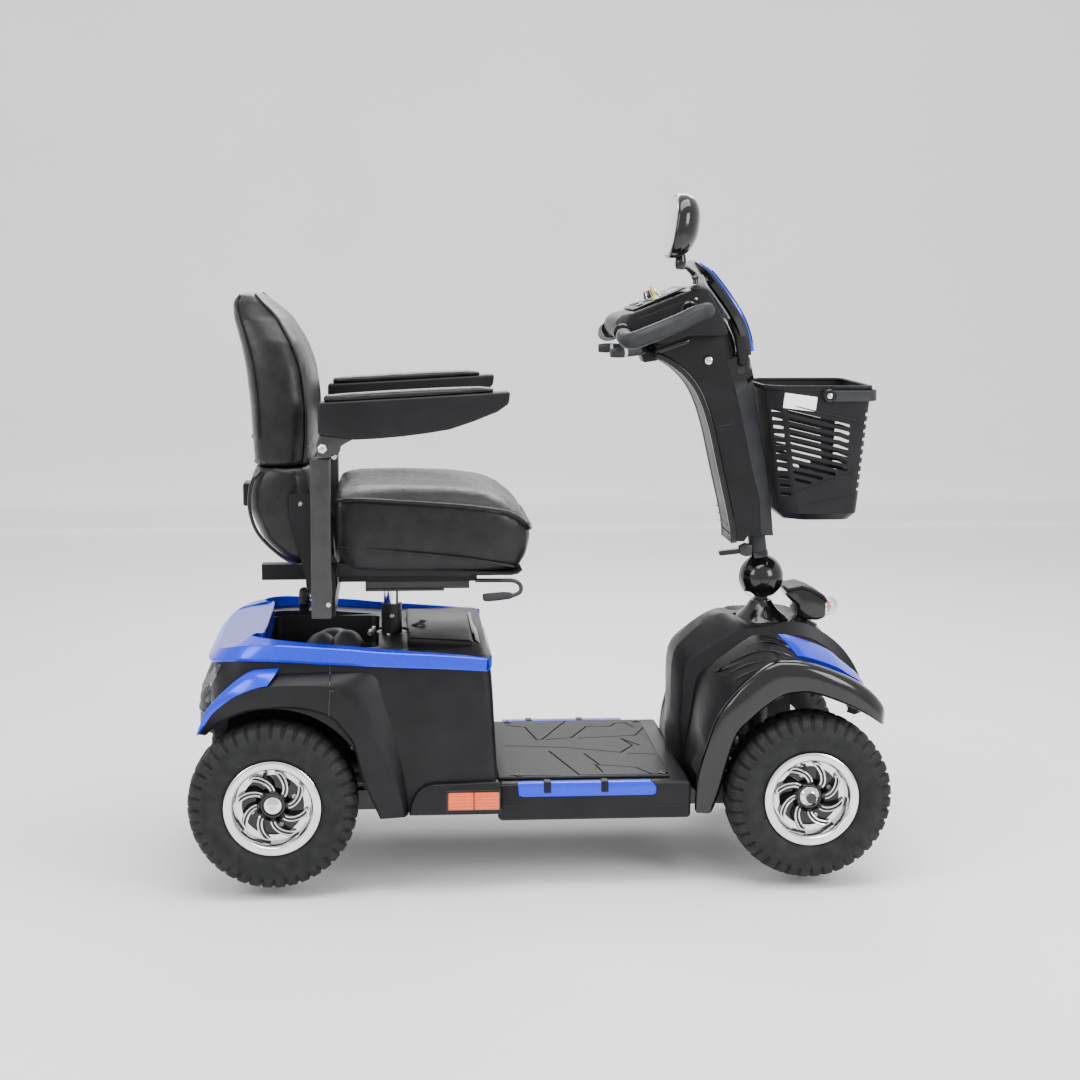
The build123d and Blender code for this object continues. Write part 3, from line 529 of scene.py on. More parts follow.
def tyre(name, centre, sign, body):
    """Pneumatic tyre with curved shoulder lugs and a smooth sidewall."""
    half = [
        (0.04, 0.0885), (0.046, 0.0915), (0.051, 0.097), (0.0555, 0.106), (0.0588, 0.116), (0.0598, 0.126),
        (0.0592, 0.1335), (0.058, 0.1395), (0.0572, 0.1405), (0.0552, 0.1462), (0.052, 0.1525),
        (0.047, 0.1575), (0.0405, 0.1605), (0.033, 0.1625), (0.025, 0.1638), (0.016, 0.1646),
        (0.008, 0.165), (0.0, 0.165),
    ]
    profile = half + [(-y, r) for y, r in reversed(half[:-1])]
    turns = LUGS * STEPS_PER_LUG
    rings = []
    for k in range(turns):
        ring = []
        for y, r in profile:
            skew = 0.55 * math.sin(abs(y) / 0.058 * 1.8) + (0.5 if y < 0 else 0.0)
            phase = (k / STEPS_PER_LUG + skew) % 1.0
            tread = min(1.0, max(0.0, (r - TREAD_START_R) / TREAD_FADE))
            gap = min(1.0, max(0.0, 1.0 - abs(phase - 0.5) / 0.17) * 2.2)
            between_lugs = LUG_DEPTH * gap * tread * (1.0 if abs(y) > 0.013 else 0.55)
            in_groove = abs(abs(y) - GROOVE_Y) <= 0.0045
            sink = max(between_lugs, GROOVE_DEPTH * tread if in_groove else 0.0)
            narrowing = 1.0 - 0.75 * sink / 0.06 if abs(y) > 0.045 else 1.0
            angle = 2 * math.pi * k / turns
            x, z = centre[0] + (r - sink) * math.sin(angle), centre[2] + (r - sink) * math.cos(angle)
            ring.append(Vector((x, centre[1] + sign * y * narrowing, z)))
        rings.append(ring)
    rings.append(rings[0])
    obj = loft(name, rings, body, TYRE, caps=False, closed=False, angle=50.0)
    weld = obj.modifiers.new("weld", "WELD")
    weld.merge_threshold = 0.00001
    return baked(obj, 50.0)


def swirl(angle, start, stop, steps, offset):
    """Points of a swirling spoke's edge at a signed half width, on the wheel's face."""
    points = []
    for k in range(steps + 1):
        t = k / steps
        r = start + (stop - start) * t
        bend = angle + math.radians(34.0) * t**1.25
        width = offset * (0.55 + 0.45 * t)
        points.append((r, bend + width / r))
    return points


def on_face(centre, sign, r, angle, depth):
    """A point of the wheel at a radius, an angle from the top, and a distance from its centre plane."""
    return Vector((
        centre[0] + sign * r * math.sin(angle), centre[1] + sign * depth, centre[2] + r * math.cos(angle),
    ))


def rim(name, centre, sign, body, driven):
    """Cast wheel: polished flange and barrel, gloss black face with eight swirl spokes."""
    axis = (0, sign, 0)
    flange = [
        (-0.054, 0.06), (-0.054, 0.0945), (-0.051, 0.0955), (-0.048, 0.0905), (0.046, 0.0895), (0.05, 0.093),
        (0.0528, 0.093), (0.0545, 0.0905), (0.0548, 0.087), (0.0535, 0.079), (0.0505, 0.076), (0.038, 0.0735),
        (0.024, 0.0715), (0.0235, 0.06), (-0.03, 0.06),
    ]
    bright = turned(f"{name}_flange", flange, centre, axis, body, ALLOY, 96)
    disc = [
        (0.01, TIP), (0.01, 0.06), (0.0165, 0.0722), (0.0225, 0.0722), (0.0215, 0.066), (0.0175, 0.05),
        (0.019, 0.034), (0.028, 0.027), (0.031, 0.0235), (0.031, 0.02), (0.028, 0.019), (0.028, TIP),
    ]
    dark = turned(f"{name}_face", disc, centre, axis, body, GLOSS, 96)
    spokes, strips = [], []
    for n in range(SPOKES):
        angle = 2 * math.pi * n / SPOKES
        left, right = (swirl(angle, SPOKE_FROM, 0.068, 10, half) for half in (-0.0085, 0.0085))
        rings = []
        for (r0, a0), (r1, a1) in zip(left, right):
            crest = 0.0315 + SPOKE_RISE * math.sin((r0 - SPOKE_FROM) / SPOKE_SPAN * math.pi)
            mid = (a0 + a1) / 2
            section = (
                (r0, a0, 0.017), (r0, a0, crest), (r0, (a0 + mid) / 2, crest - 0.0004),
                (r0, (a1 + mid) / 2, crest - 0.0004), (r1, a1, crest), (r1, a1, 0.017),
            )
            rings.append([on_face(centre, sign, *p) for p in section])
        spokes.append(loft(f"{name}_spoke_{n}", rings, body, GLOSS))
        ends = swirl(angle, 0.031, 0.0655, 9, 0.0)
        arms = [
            [(r, a + half * (0.55 + 0.45 * k / 9) / r) for k, (r, a) in enumerate(ends)]
            for half in (-0.0062, 0.0062)
        ]
        tip_r, tip_a = ends[-1]
        u_path = arms[0] + [(tip_r + 0.002, tip_a)] + arms[1][::-1]
        points = []
        for r, a in u_path:
            crest = 0.0322 + SPOKE_RISE * math.sin((min(r, 0.068) - SPOKE_FROM) / SPOKE_SPAN * math.pi)
            points.append(on_face(centre, sign, r, a, crest))
        strips.append(tube(f"{name}_strip_{n}", points, 0.00175, body, ALLOY, 8, 3))
    joined(f"{name}_spokes", spokes)
    joined(f"{name}_strips", strips)
    for n in range(4):
        a = math.radians(20 + 90 * n)
        start = on_face(centre, sign, 0.043, a, 0.016)
        turned(
            f"{name}_bolt_{n}", [(0, 0.0052), (0.004, 0.0052), (0.0046, 0.0044), (0.0046, TIP)], start, axis,
            body, ZINC, 6, 20,
        )
    hub = Vector(centre) + Vector((0, sign * HUB_FACE, 0))
    if driven:
        nut = [(0, 0.015), (0.0025, 0.0165), (0.003, 0.0128), (0.011, 0.0128), (0.012, 0.011), (0.012, TIP)]
        turned(f"{name}_nut", nut, hub, axis, body, CHROME, 48)
        thread = [(0, 0.0062), (0.018, 0.0062), (0.019, 0.005), (0.019, TIP)]
        turned(f"{name}_stub", thread, hub, axis, body, ZINC, 24)
    else:
        cap = [
            (0, 0.0195), (0.005, 0.0195), (0.0062, 0.0185), (0.0075, 0.016), (0.0118, 0.0125), (0.0136, 0.007),
            (0.014, TIP),
        ]
        turned(f"{name}_cap", cap, hub, axis, body, CHROME, 48)
    stem = on_face(centre, sign, 0.07, math.radians(12), 0.04)
    inward = (Vector(centre) - stem) * Vector((1, 0, 1))
    turned(
        f"{name}_valve", [(0, 0.003), (0.014, 0.003), (0.015, 0.002), (0.015, TIP)], stem, inward, body, SATIN,
        12,
    )
    return bright, dark


for axle, axle_x in (("rear", REAR_AXLE), ("front", FRONT_AXLE)):
    for hand, sign in HAND.items():
        wheel = f"{axle}_{hand}"
        body = f"{wheel}_wheel"
        middle = (axle_x, sign * TRACK_Y, WHEEL_R)
        rubber = tyre(f"{wheel}_rubber", middle, sign, body)
        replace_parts(rubber, f"{wheel}_tyre")
        bright, dark = rim(wheel, middle, sign, body, axle == "rear")
        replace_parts(bright, f"{wheel}_rim")


# ---- soft goods ---------------------------------------------------------------------
SIM_FRAMES = 20


def section_rings(stations, shape, axis):
    """A ring per station: shape(station) gives pairs of numbers, and axis(station, *pair) a point."""
    return [[axis(station, a, b) for a, b in shape(station)] for station in stations]


def interpolated(value, table, column):
    """A column of a table at a value of its first column."""
    return np.interp(value, [row[0] for row in table], [row[column] for row in table])


def remeshed(obj, voxel):
    """A closed even mesh of the piece."""
    remesh = obj.modifiers.new("remesh", "REMESH")
    remesh.mode = "VOXEL"
    remesh.voxel_size = voxel
    return baked(obj, 80.0)


def inflated(obj, voxel, cap, pinned, pressure=4.0):
    """Puffs a closed form between its pinned seams by cloth pressure, moving no point further than cap."""
    remeshed(obj, voxel)
    count = len(obj.data.vertices)
    start = np.empty(count * 3)
    obj.data.vertices.foreach_get("co", start)
    start = start.reshape(-1, 3)
    group = obj.vertex_groups.new(name="seams")
    group.add([i for i in range(count) if pinned(start[i])], 1.0, "REPLACE")
    cloth = obj.modifiers.new("cloth", "CLOTH")
    cloth.settings.quality = 4
    cloth.settings.mass = 0.4
    cloth.settings.tension_stiffness = 12.0
    cloth.settings.compression_stiffness = 12.0
    cloth.settings.bending_stiffness = 1.2
    cloth.settings.use_pressure = True
    cloth.settings.uniform_pressure_force = pressure
    cloth.settings.effector_weights.gravity = 0.0
    cloth.settings.vertex_group_mass = "seams"
    cloth.point_cache.frame_start = 1
    cloth.point_cache.frame_end = SIM_FRAMES
    for step in range(1, SIM_FRAMES + 1):
        bpy.context.scene.frame_set(step)
    graph = bpy.context.evaluated_depsgraph_get()
    puffed = obj.evaluated_get(graph).data
    end = np.empty(count * 3)
    puffed.vertices.foreach_get("co", end)
    move = end.reshape(-1, 3) - start
    length = np.linalg.norm(move, axis=1, keepdims=True)
    end = start + move * np.minimum(1.0, cap / np.maximum(length, 1e-9))
    obj.modifiers.clear()
    obj.data.vertices.foreach_set("co", end.ravel())
    obj.data.update()
    bpy.context.scene.frame_set(1)
    relax = obj.modifiers.new("relax", "SMOOTH")
    relax.factor = 0.5
    relax.iterations = 3
    return subdivided(obj, 80.0)


STITCH_SPACING, STITCH_LENGTH, THREAD_R = 0.0062, 0.0042, 0.00045


def stitches(name, points, body):
    """A row of raised thread stitches along a chain of points."""
    chain = [Vector(p) for p in smooth_chain(points, 24)]
    objs, run = [], 0.0
    for a, b in zip(chain, chain[1:]):
        run += (b - a).length
        if run >= STITCH_SPACING:
            run = 0.0
            ends = [a, a + (b - a).normalized() * STITCH_LENGTH]
            objs.append(tube(f"{name}_{len(objs)}", ends, THREAD_R, body, GREY, 5, 1))
    return joined(name, objs)


CUSHION = [  # x, half width, crown, piping height, underside
    (122, 210, 748, 738, 630), (130, 226, 766, 749, 614), (165, 234, 773, 752, 608), (254, 235, 774, 747, 606),
    (355, 235, 770, 740, 606), (416, 233, 762, 733, 606), (452, 227, 749, 726, 607), (478, 217, 731, 713, 612),
    (494, 203, 713, 699, 632), (503, 182, 694, 687, 660),
]


def cushion_ring(station):
    """(y, z) of the cushion's section."""
    _, w, top, edge, low = station
    half = [
        (0.0, top - 5), (w * 0.3, top - 3), (w * 0.55, top), (w * 0.78, top - 5), (w * 0.93, edge + 4),
        (w * 0.99, edge - 6), (w, (edge * 2 + low) / 3), (w * 0.995, (edge + low * 2) / 3),
        (w * 0.965, low + 14), (w * 0.89, low + 2), (w * 0.5, low), (0.0, low),
    ]
    full = half + [(-a, b) for a, b in reversed(half[1:-1])]
    return smooth_chain(full, 4, True)


def seat_cushion():
    """The cushion, its piping, seams and stitches, and the pan under it."""
    rings = section_rings(CUSHION, cushion_ring, lambda s, a, b: mm(s[0], a, b))
    pad = loft("seat_pad", rings, "seat", LEATHER)

    def pinned(p):
        """The piping, the lower seam, two sewn channels and the underside stay put."""
        x = (p[0] - REAR_AXLE) * 1000
        w, edge = (interpolated(x, CUSHION, column) for column in (1, 3))
        seam = np.interp(x, [118, 250, 383, 480], [662, 650, 636, 618])
        z, y = p[2] * 1000, abs(p[1] * 1000)
        on_piping = abs(z - edge) < 6 and y > w * 0.86
        on_front = x > 499 and abs(z - 690) < 7
        on_seam = abs(z - seam) < 5 and y > w * 0.9
        channel = abs(y - 128) < 4 and z > edge and 150 < x < 430
        return on_piping or on_front or on_seam or channel or z < 616

    inflated(pad, 0.006, 0.024, pinned)
    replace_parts(pad, "seat_cushion")
    edge = [(s[0], s[1] + 3, s[3] + 1) for s in CUSHION[1:]]
    near = [mm(x, -y, z) for x, y, z in edge]
    far = [mm(x, y, z) for x, y, z in reversed(edge)]
    front = [mm(507, y, 688) for y in (-150, -90, 0, 90, 150)]
    tube("seat_piping", near + front + far, 0.0032, "seat", LEATHER, 10, 5)
    for sign, hand in SIDES:
        row = [mm(x, sign * (y - 3), z + 7) for x, y, z in edge[2:7]]
        stitches(f"seat_stitches_{hand}", row, "seat")
        seam = [
            mm(x, sign * (w + 0.5), z) for x, w, z in ((128, 226, 661), (250, 236, 651), (383, 236, 636),
            (470, 221, 618))
        ]
        tube(f"seat_lower_seam_{hand}", seam, 0.0022, "seat", LEATHER, 8, 6)
    pan = [mm(x, 0, z) for x, z in ((126, 600), (126, 628), (300, 616), (470, 606), (488, 612), (470, 597))]
    tray = slab("seat_pan", [(p.x, p.z) for p in pan], -0.222, 0.222, "seat", GRAINED, 0.004)
    cut(tray, void(mm(385, -240, 580), mm(500, -196, 603)))


BACK = [  # height, rear, front, half width
    (813, -30, 70, 205), (822, -34, 82, 216), (868, -37, 87, 219), (932, -40, 88, 219), (1002, -48, 79, 214),
    (1051, -58, 60, 203), (1096, -71, 32, 179), (1126, -74, -4, 147), (1140, -64, -22, 118),
]
BACK_LOW = [
    (622, 26, 66, 196), (637, 12, 82, 208), (669, -20, 90, 218), (727, -46, 91, 222), (766, -47, 90, 222),
    (795, -38, 88, 220), (812, -30, 80, 214),
]


def back_ring(station):
    """(x, y) of the backrest's section."""
    _, rear, front, w = station
    middle, half = (front + rear) / 2, (front - rear) / 2
    quarter = [
        (half - 2, 0.0), (half, w * 0.35), (half * 0.97, w * 0.62), (half * 0.84, w * 0.84),
        (half * 0.58, w * 0.955), (half * 0.2, w), (-half * 0.3, w * 0.985), (-half * 0.72, w * 0.93),
        (-half * 0.93, w * 0.78), (-half, w * 0.5), (-half, 0.0),
    ]
    full = quarter + [(a, -b) for a, b in reversed(quarter[1:-1])]
    return [(a + middle, b) for a, b in smooth_chain(full, 4, True)]


def backrest():
    """The padded back, the cover over its hinge, and their piping and bolts."""
    rings = section_rings(BACK, back_ring, lambda s, a, b: mm(a, b, s[0]))
    pad = loft("back_pad", rings, "backrest", LEATHER)

    def pinned(p):
        """The piping, the rear seam, the hems and the lumbar seam stay put."""
        x, y, z = (p[0] - REAR_AXLE) * 1000, abs(p[1] * 1000), p[2] * 1000
        rear, front, w = (interpolated(z, BACK, column) for column in (1, 2, 3))
        on_front_seam = y > w * 0.86 and x > front - 22
        on_rear_seam = y > w * 0.8 and x < rear + 14
        hem = z < 868 and (abs(z - 862) < 4 or z < 824) and x < rear + 60
        lumbar = x > front - 8 and abs(z - 905) < 4
        return on_front_seam or on_rear_seam or hem or lumbar

    inflated(pad, 0.006, 0.024, pinned)
    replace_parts(pad, "backrest")
    for sign, hand in SIDES:
        seam = [mm(f - (f - r) * 0.14, sign * (w * 0.925), z) for z, r, f, w in BACK[1:]]
        tube(f"back_piping_{hand}", seam, 0.0028, "backrest", LEATHER, 8, 5)
        rear_seam = [mm(r + (f - r) * 0.13, sign * (w * 0.945), z) for z, r, f, w in BACK[2:]]
        tube(f"back_rear_seam_{hand}", rear_seam, 0.0018, "backrest", LEATHER, 8, 5)
    hem_y = (-195, -150, -80, 0, 80, 150, 195)
    for n, z in enumerate((866, 818)):
        rear = interpolated(z, BACK, 1)
        points = [mm(rear - 2 + (abs(y) / 219) ** 6 * 34, y, z) for y in hem_y]
        tube(f"back_hem_{n}", points, 0.0026, "backrest", LEATHER, 8, 5)
    rings = section_rings(BACK_LOW, back_ring, lambda s, a, b: mm(a, b, s[0]))
    lower = loft("back_hinge_cover", rings, "backrest", LEATHER)
    inflated(lower, 0.007, 0.004, lambda p: True, 0.5)
    for sign, hand in SIDES:
        rim_line = [
            (-26, 806), (-43, 785), (-49, 750), (-47, 722), (-36, 690), (-14, 662), (16, 637), (44, 624),
        ]
        points = [mm(x + 9, sign * 211, z) for x, z in rim_line]
        tube(f"back_cover_piping_{hand}", points, 0.0035, "backrest", GLOSS, 10, 6)
        crease = [mm(x, sign * 221, z) for x, z in ((70, 806), (74, 780), (80, 755), (90, 738))]
        tube(f"back_cover_crease_{hand}", crease, 0.0016, "backrest", LEATHER, 8, 6)
        bolt = mm(58, sign * 219, 744)
        washer = [(0, 0.0125), (0.004, 0.0125), (0.005, 0.011), (0.005, TIP)]
        turned(f"back_washer_{hand}", washer, bolt, (0, sign, 0), "backrest", STEEL, 32)
        head = [
            (0.005, 0.0085), (0.0085, 0.0078), (0.01, 0.005), (0.0085, 0.0044), (0.007, 0.003), (0.007, TIP),
        ]
        turned(f"back_bolt_{hand}", head, bolt, (0, sign, 0), "backrest", ZINC, 24)
    block("back_buckle", mm(-66, -32, 716), mm(-44, 32, 762), "backrest", SATIN, 0.004)


ARM_Y = 285


def armrest(hand, sign):
    """An armrest with its pad and bracket, and the bent tube that carries it."""
    body, post_body = f"{hand}_armrest", f"{hand}_arm"
    lower = [(454, 941), (433, 926), (388, 908), (343, 893), (301, 886), (253, 880), (206, 876), (164, 874)]
    shape = outline([(96, 884), (97, 944), (457, 964)] + lower)
    shell = slab(f"{hand}_arm_shell", shape, sign * 0.259, sign * 0.311, body, SATIN, 0.0055, 4)
    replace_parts(shell, f"{hand}_armrest")
    stations = [
        (106, 949, 17, 3), (112, 950, 21, 7), (150, 952, 23, 8), (240, 957, 23.5, 8.5), (330, 962, 23.5, 8),
        (400, 966, 22.5, 6.5), (426, 966, 19, 4),
    ]
    pad_rings = [
        oval(mm(x, sign * ARM_Y, z), ACROSS, UP, w / 1000, h / 1000, 2.8, 28) for x, z, w, h in stations
    ]
    pad = loft(f"{hand}_arm_pad", pad_rings, body, LEATHER)
    inflated(pad, 0.004, 0.003, lambda p: abs(abs(p[1]) - 0.285) > 0.021, 2.0)
    bracket = [
        (99, 884), (92, 862), (96, 842), (124, 840), (133, 846), (137, 852), (139, 862), (149, 868), (164, 876),
    ]
    slab(
        f"{hand}_arm_bracket", outline(bracket), sign * 0.285 - 0.021, sign * 0.285 + 0.021, body, STEEL, 0.003,
    )
    post = block(
        f"{hand}_arm_tube", mm(80, sign * ARM_Y - 12.9, 532), mm(118, sign * ARM_Y + 12.9, 838), post_body,
        STEEL, 0.003,
    )
    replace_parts(post, f"{hand}_arm_post")
    block(f"{hand}_arm_bar", mm(91, sign * 70, 531), mm(116, sign * 272, 555), post_body, STEEL, 0.002)
    bolt = mm(104, sign * 306, 858)
    head = [
        (0, 0.0095), (0.003, 0.0095), (0.0032, 0.008), (0.0075, 0.0076), (0.0085, 0.006), (0.007, 0.005),
        (0.007, TIP),
    ]
    turned(f"{hand}_arm_bolt", head, bolt, (0, sign, 0), body, ZINC, 6, 25)
    stop = mm(126, sign * ARM_Y, 842)
    turned(f"{hand}_arm_stop", [(-0.021, 0.005), (0.021, 0.005), (0.022, TIP)], stop, ACROSS, body, ZINC, 16)
    screw = mm(112, sign * 298, 560)
    turned(
        f"{hand}_arm_screw", [(0, 0.005), (0.003, 0.0045), (0.0035, TIP)], screw, (0, sign, 0), post_body, ZINC,
        16,
    )


def knob(hand, sign):
    """Lobed clamp knob on the rear of the receiver."""
    body = f"{hand}_knob"
    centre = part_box(f"{hand}_arm_knob")
    x0, z = centre[0].x, (centre[0].z + centre[1].z) / 2
    y = sign * 0.15
    rings = []
    for along, size in (
        (0, 0.0225), (0.002, 0.0255), (0.006, 0.0272), (0.014, 0.0272), (0.018, 0.025), (0.0205, 0.014),
    ):
        ring = []
        for k in range(72):
            t = 2 * math.pi * k / 72
            r = size * (0.93 + 0.07 * math.cos(6 * t))
            ring.append(Vector((x0 + along, y + r * math.cos(t), z + r * math.sin(t))))
        rings.append(ring)
    obj = loft(f"{hand}_clamp_knob", rings, body, SATIN)
    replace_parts(obj, f"{hand}_arm_knob")
    stud = [(0.0205, 0.004), (0.0365, 0.004), (0.037, TIP)]
    turned(f"{hand}_knob_stud", stud, (x0, y, z), AHEAD, body, ZINC, 16)


seat_cushion()
backrest()
for hand, sign in HAND.items():
    armrest(hand, sign)
    knob(hand, sign)

# seat lever: bent bar with a moulded grip
lever = tube(
    "lever_bar", [mm(395, -200, 588), mm(440, -208, 589), mm(468, -220, 590), mm(481, -225, 583),
    mm(482, -226, 570), mm(470, -228, 563), mm(455, -228, 561)], 0.004, "seat_lever", STEEL, 12, 8,
)
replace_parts(lever, "seat_lever")
tube(
    "lever_grip", [mm(408, -229, 558.5), mm(412, -229, 559), mm(430, -229, 560), mm(448, -228, 561.5),
    mm(462, -228, 562), mm(466, -228, 562)], [0.0045, 0.0078, 0.0084, 0.008, 0.0066, 0.0045], "seat_lever",
    SOFT_GRIP, 16, 6,
)


# ---- rear bodywork ------------------------------------------------------------------
CORNER_STEPS = 8


def plan_ring(x_rear, x_front, half, r_rear, r_front, z):
    """Rounded rectangle in plan at one height, in mm."""
    corners = [
        (x_front - r_front, -half + r_front, r_front, -90), (x_front - r_front, half - r_front, r_front, 0),
        (x_rear + r_rear, half - r_rear, r_rear, 90), (x_rear + r_rear, -half + r_rear, r_rear, 180),
    ]
    ring = []
    for cx, cy, r, start in corners:
        for k in range(CORNER_STEPS + 1):
            t = math.radians(start + 90 * k / CORNER_STEPS)
            ring.append(mm(cx + r * math.cos(t), cy + r * math.sin(t), z))
    return ring


ARCH_R = 0.19


def rear_shell():
    """The rear body with its wheel arches, the seat well and the hole for the post."""
    levels = [  # z; rear x, front x, half width, rear and front corner radius
        (142, -60, 434, 270, 40, 12), (150, -100, 436, 277, 50, 14), (206, -118, 435, 281, 60, 16),
        (300, -122, 430, 283, 66, 18), (380, -120, 426, 281, 70, 20), (420, -116, 423, 277, 72, 22),
        (446, -108, 421, 272, 72, 22), (452, -100, 416, 262, 70, 22),
    ]
    axle = (REAR_AXLE, 0, WHEEL_R)
    shell = loft("rear_shell", [plan_ring(a, b, h, r, f, z) for z, a, b, h, r, f in levels], "chassis", SATIN)
    cut(
        shell,
        void(mm(-300, -330, 60), mm(208, 330, 244)),
        bore(axle, ACROSS, 0.15, 0.4, ARCH_R, 96),
        bore(axle, ACROSS, -0.4, -0.15, ARCH_R, 96),
        void(mm(-20, -176, 376), mm(205, 176, 520), 0.02),
        void(mm(202, -34, 380), mm(262, 34, 520), 0.008),
        void(mm(190, -60, 100), mm(428, 60, 190)),
    )
    bevelled(shell, 0.0022, 2, 50.0)
    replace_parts(shell, "rear_body")


def band(name, path, body, material, angle=35.0):
    """A closed band: path holds, for each station, a closed chain of (x, y, z) in mm."""
    return loft(name, [[mm(*p) for p in ring] for ring in path], body, material, angle=angle)


def densified(rows, steps=5):
    """Catmull-Rom refinement of a table of numbers."""
    return [list(map(float, row)) for row in smooth_chain(rows, steps)]


def rear_flare(name):
    """Wheel-arch flare on the near side, from the rear tip over the wheel to the sill."""
    rows = [  # lip x, z, y; inner x, z; blend x, z
        (-146, 300, -252, -128, 296, -120, 320), (-126, 336, -272, -106, 322, -98, 352),
        (-101, 360, -285, -84, 336, -76, 384), (-55, 390, -296, -50, 350, -40, 412),
        (-10, 402, -301, -10, 356, -4, 421), (60, 404, -303, 50, 357, 70, 424),
        (120, 400, -304, 110, 340, 146, 424), (152, 376, -304, 140, 308, 197, 416),
        (180, 330, -304, 156, 284, 222, 360), (204, 284, -304, 166, 240, 236, 318),
        (228, 232, -304, 176, 206, 247, 260), (246, 180, -303, 192, 170, 257, 196),
        (254, 142, -301, 206, 137, 262, 141),
    ]
    rings = []
    for x, z, y, ix, iz, bx, bz in densified(rows):
        rings.append([
            (bx, y + 26, bz), (x + (bx - x) * 0.35, y + 6, z + (bz - z) * 0.35), (x, y, z),
            (x + (ix - x) * 0.12, y + 0.5, z + (iz - z) * 0.12),
            (x + (ix - x) * 0.9, y + 6, z + (iz - z) * 0.9), (ix, y + 10, iz), (ix, y + 60, iz),
            (x + (ix - x) * 0.7, y + 60, z + (iz - z) * 0.7),
        ])
    return band(name, rings, "chassis", SATIN, 24.0)


def rear_accent(name):
    """Blue strip on the rear of the flare."""
    rows = [  # upper x, z, y; lower x, z, y
        (-147, 299, -252, -141, 300, -255), (-138, 322, -264, -128, 322, -268),
        (-127, 349, -272, -112, 347, -280), (-91, 390, -284, -82, 374, -292), (-58, 418, -284, -58, 389, -299),
        (-33, 431, -283, -31, 400, -303), (-6, 433, -282, -14, 404, -304), (16, 434, -281, -6, 405, -304),
    ]
    rings = []
    for ux, uz, uy, lx, lz, ly in densified(rows, 4):
        mx, mz, my = (ux + lx) / 2, (uz + lz) / 2, (uy + ly) / 2 - 3.5
        rings.append([
            (ux, uy - 1.6, uz), (mx, my - 1.0, mz), (lx, ly - 1.8, lz), (lx, ly + 4, lz), (mx, my + 6, mz),
            (ux, uy + 4, uz),
        ])
    return band(name, rings, "chassis", BLUE, 60.0)


def sill(name):
    """Stepped panel below the rear body's side, round the marker."""
    shape = outline([
        (262, 142), (268, 168), (277, 186), (291, 198), (308, 203), (434, 207), (441, 196), (441, 142),
    ])
    return slab(name, shape, -0.2945, -0.262, "chassis", SATIN, 0.004, 4)


RING_PATH = [  # plan x, y; bottom z; outer top z; inner top z; top width; outer offset of the top edge
    (412, -279, 427, 446, 447, 14, 3), (405, -280, 428, 448, 449, 15, 3), (330, -282, 433, 455, 456, 17, 3),
    (209, -284, 439, 463, 466, 20, 4), (150, -285, 443, 469, 472, 22, 4), (94, -285, 446, 473, 476, 24, 5),
    (40, -285, 450, 477, 481, 27, 6), (0, -284, 452, 478, 484, 32, 8), (-40, -278, 452, 476, 485, 42, 12),
    (-80, -262, 449, 471, 484, 60, 16), (-108, -236, 443, 464, 484, 76, 18),
    (-122, -206, 438, 459, 484, 88, 17), (-128, -160, 436, 457, 484, 94, 16),
    (-129, -90, 436, 456, 484, 96, 16), (-129, 0, 436, 456, 484, 96, 16),
]


def ring_sections(rows, start, stop):
    """Cross-sections of the ring between two fractions of its path."""
    dense = densified(rows, 8)
    rings = []
    for i in range(round(start * (len(dense) - 1)), round(stop * (len(dense) - 1)) + 1):
        x, y, low, outer, inner, width, lean = dense[i]
        a, b = dense[max(i - 1, 0)], dense[min(i + 1, len(dense) - 1)]
        along = Vector((b[0] - a[0], b[1] - a[1], 0)).normalized()
        inward = Vector((along.y, -along.x, 0))
        if inward.dot(Vector((140 - x, -y, 0))) < 0:
            inward = -inward
        base = Vector((x, y, 0))
        points = []
        for off, z in (
            (3, low - 5), (0, low), (0.3, low + 2), (lean * 0.5, (low + outer) / 2), (lean - 0.5, outer - 2),
            (lean + 1.2, outer), (lean + width - 1.5, inner), (lean + width, inner - 1.5),
            (lean + width, low + 6), (lean + width - 4, low - 2),
        ):
            p = base + inward * off
            points.append(mm(p.x, p.y, z))
        rings.append(points)
    return rings


def shroud_ring():
    """The blue ring round the top of the rear body, in four parts."""
    rear = loft("ring_rear_right", ring_sections(RING_PATH, 0.307, 1.0), "chassis", BLUE, angle=24.0)
    front = loft("ring_front_right", ring_sections(RING_PATH, 0.0, 0.3), "chassis", BLUE, angle=24.0)
    rear_twin = mirrored_copy(rear, "ring_rear_left")
    mirrored_copy(front, "ring_front_left")
    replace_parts(rear, "shroud_bands")


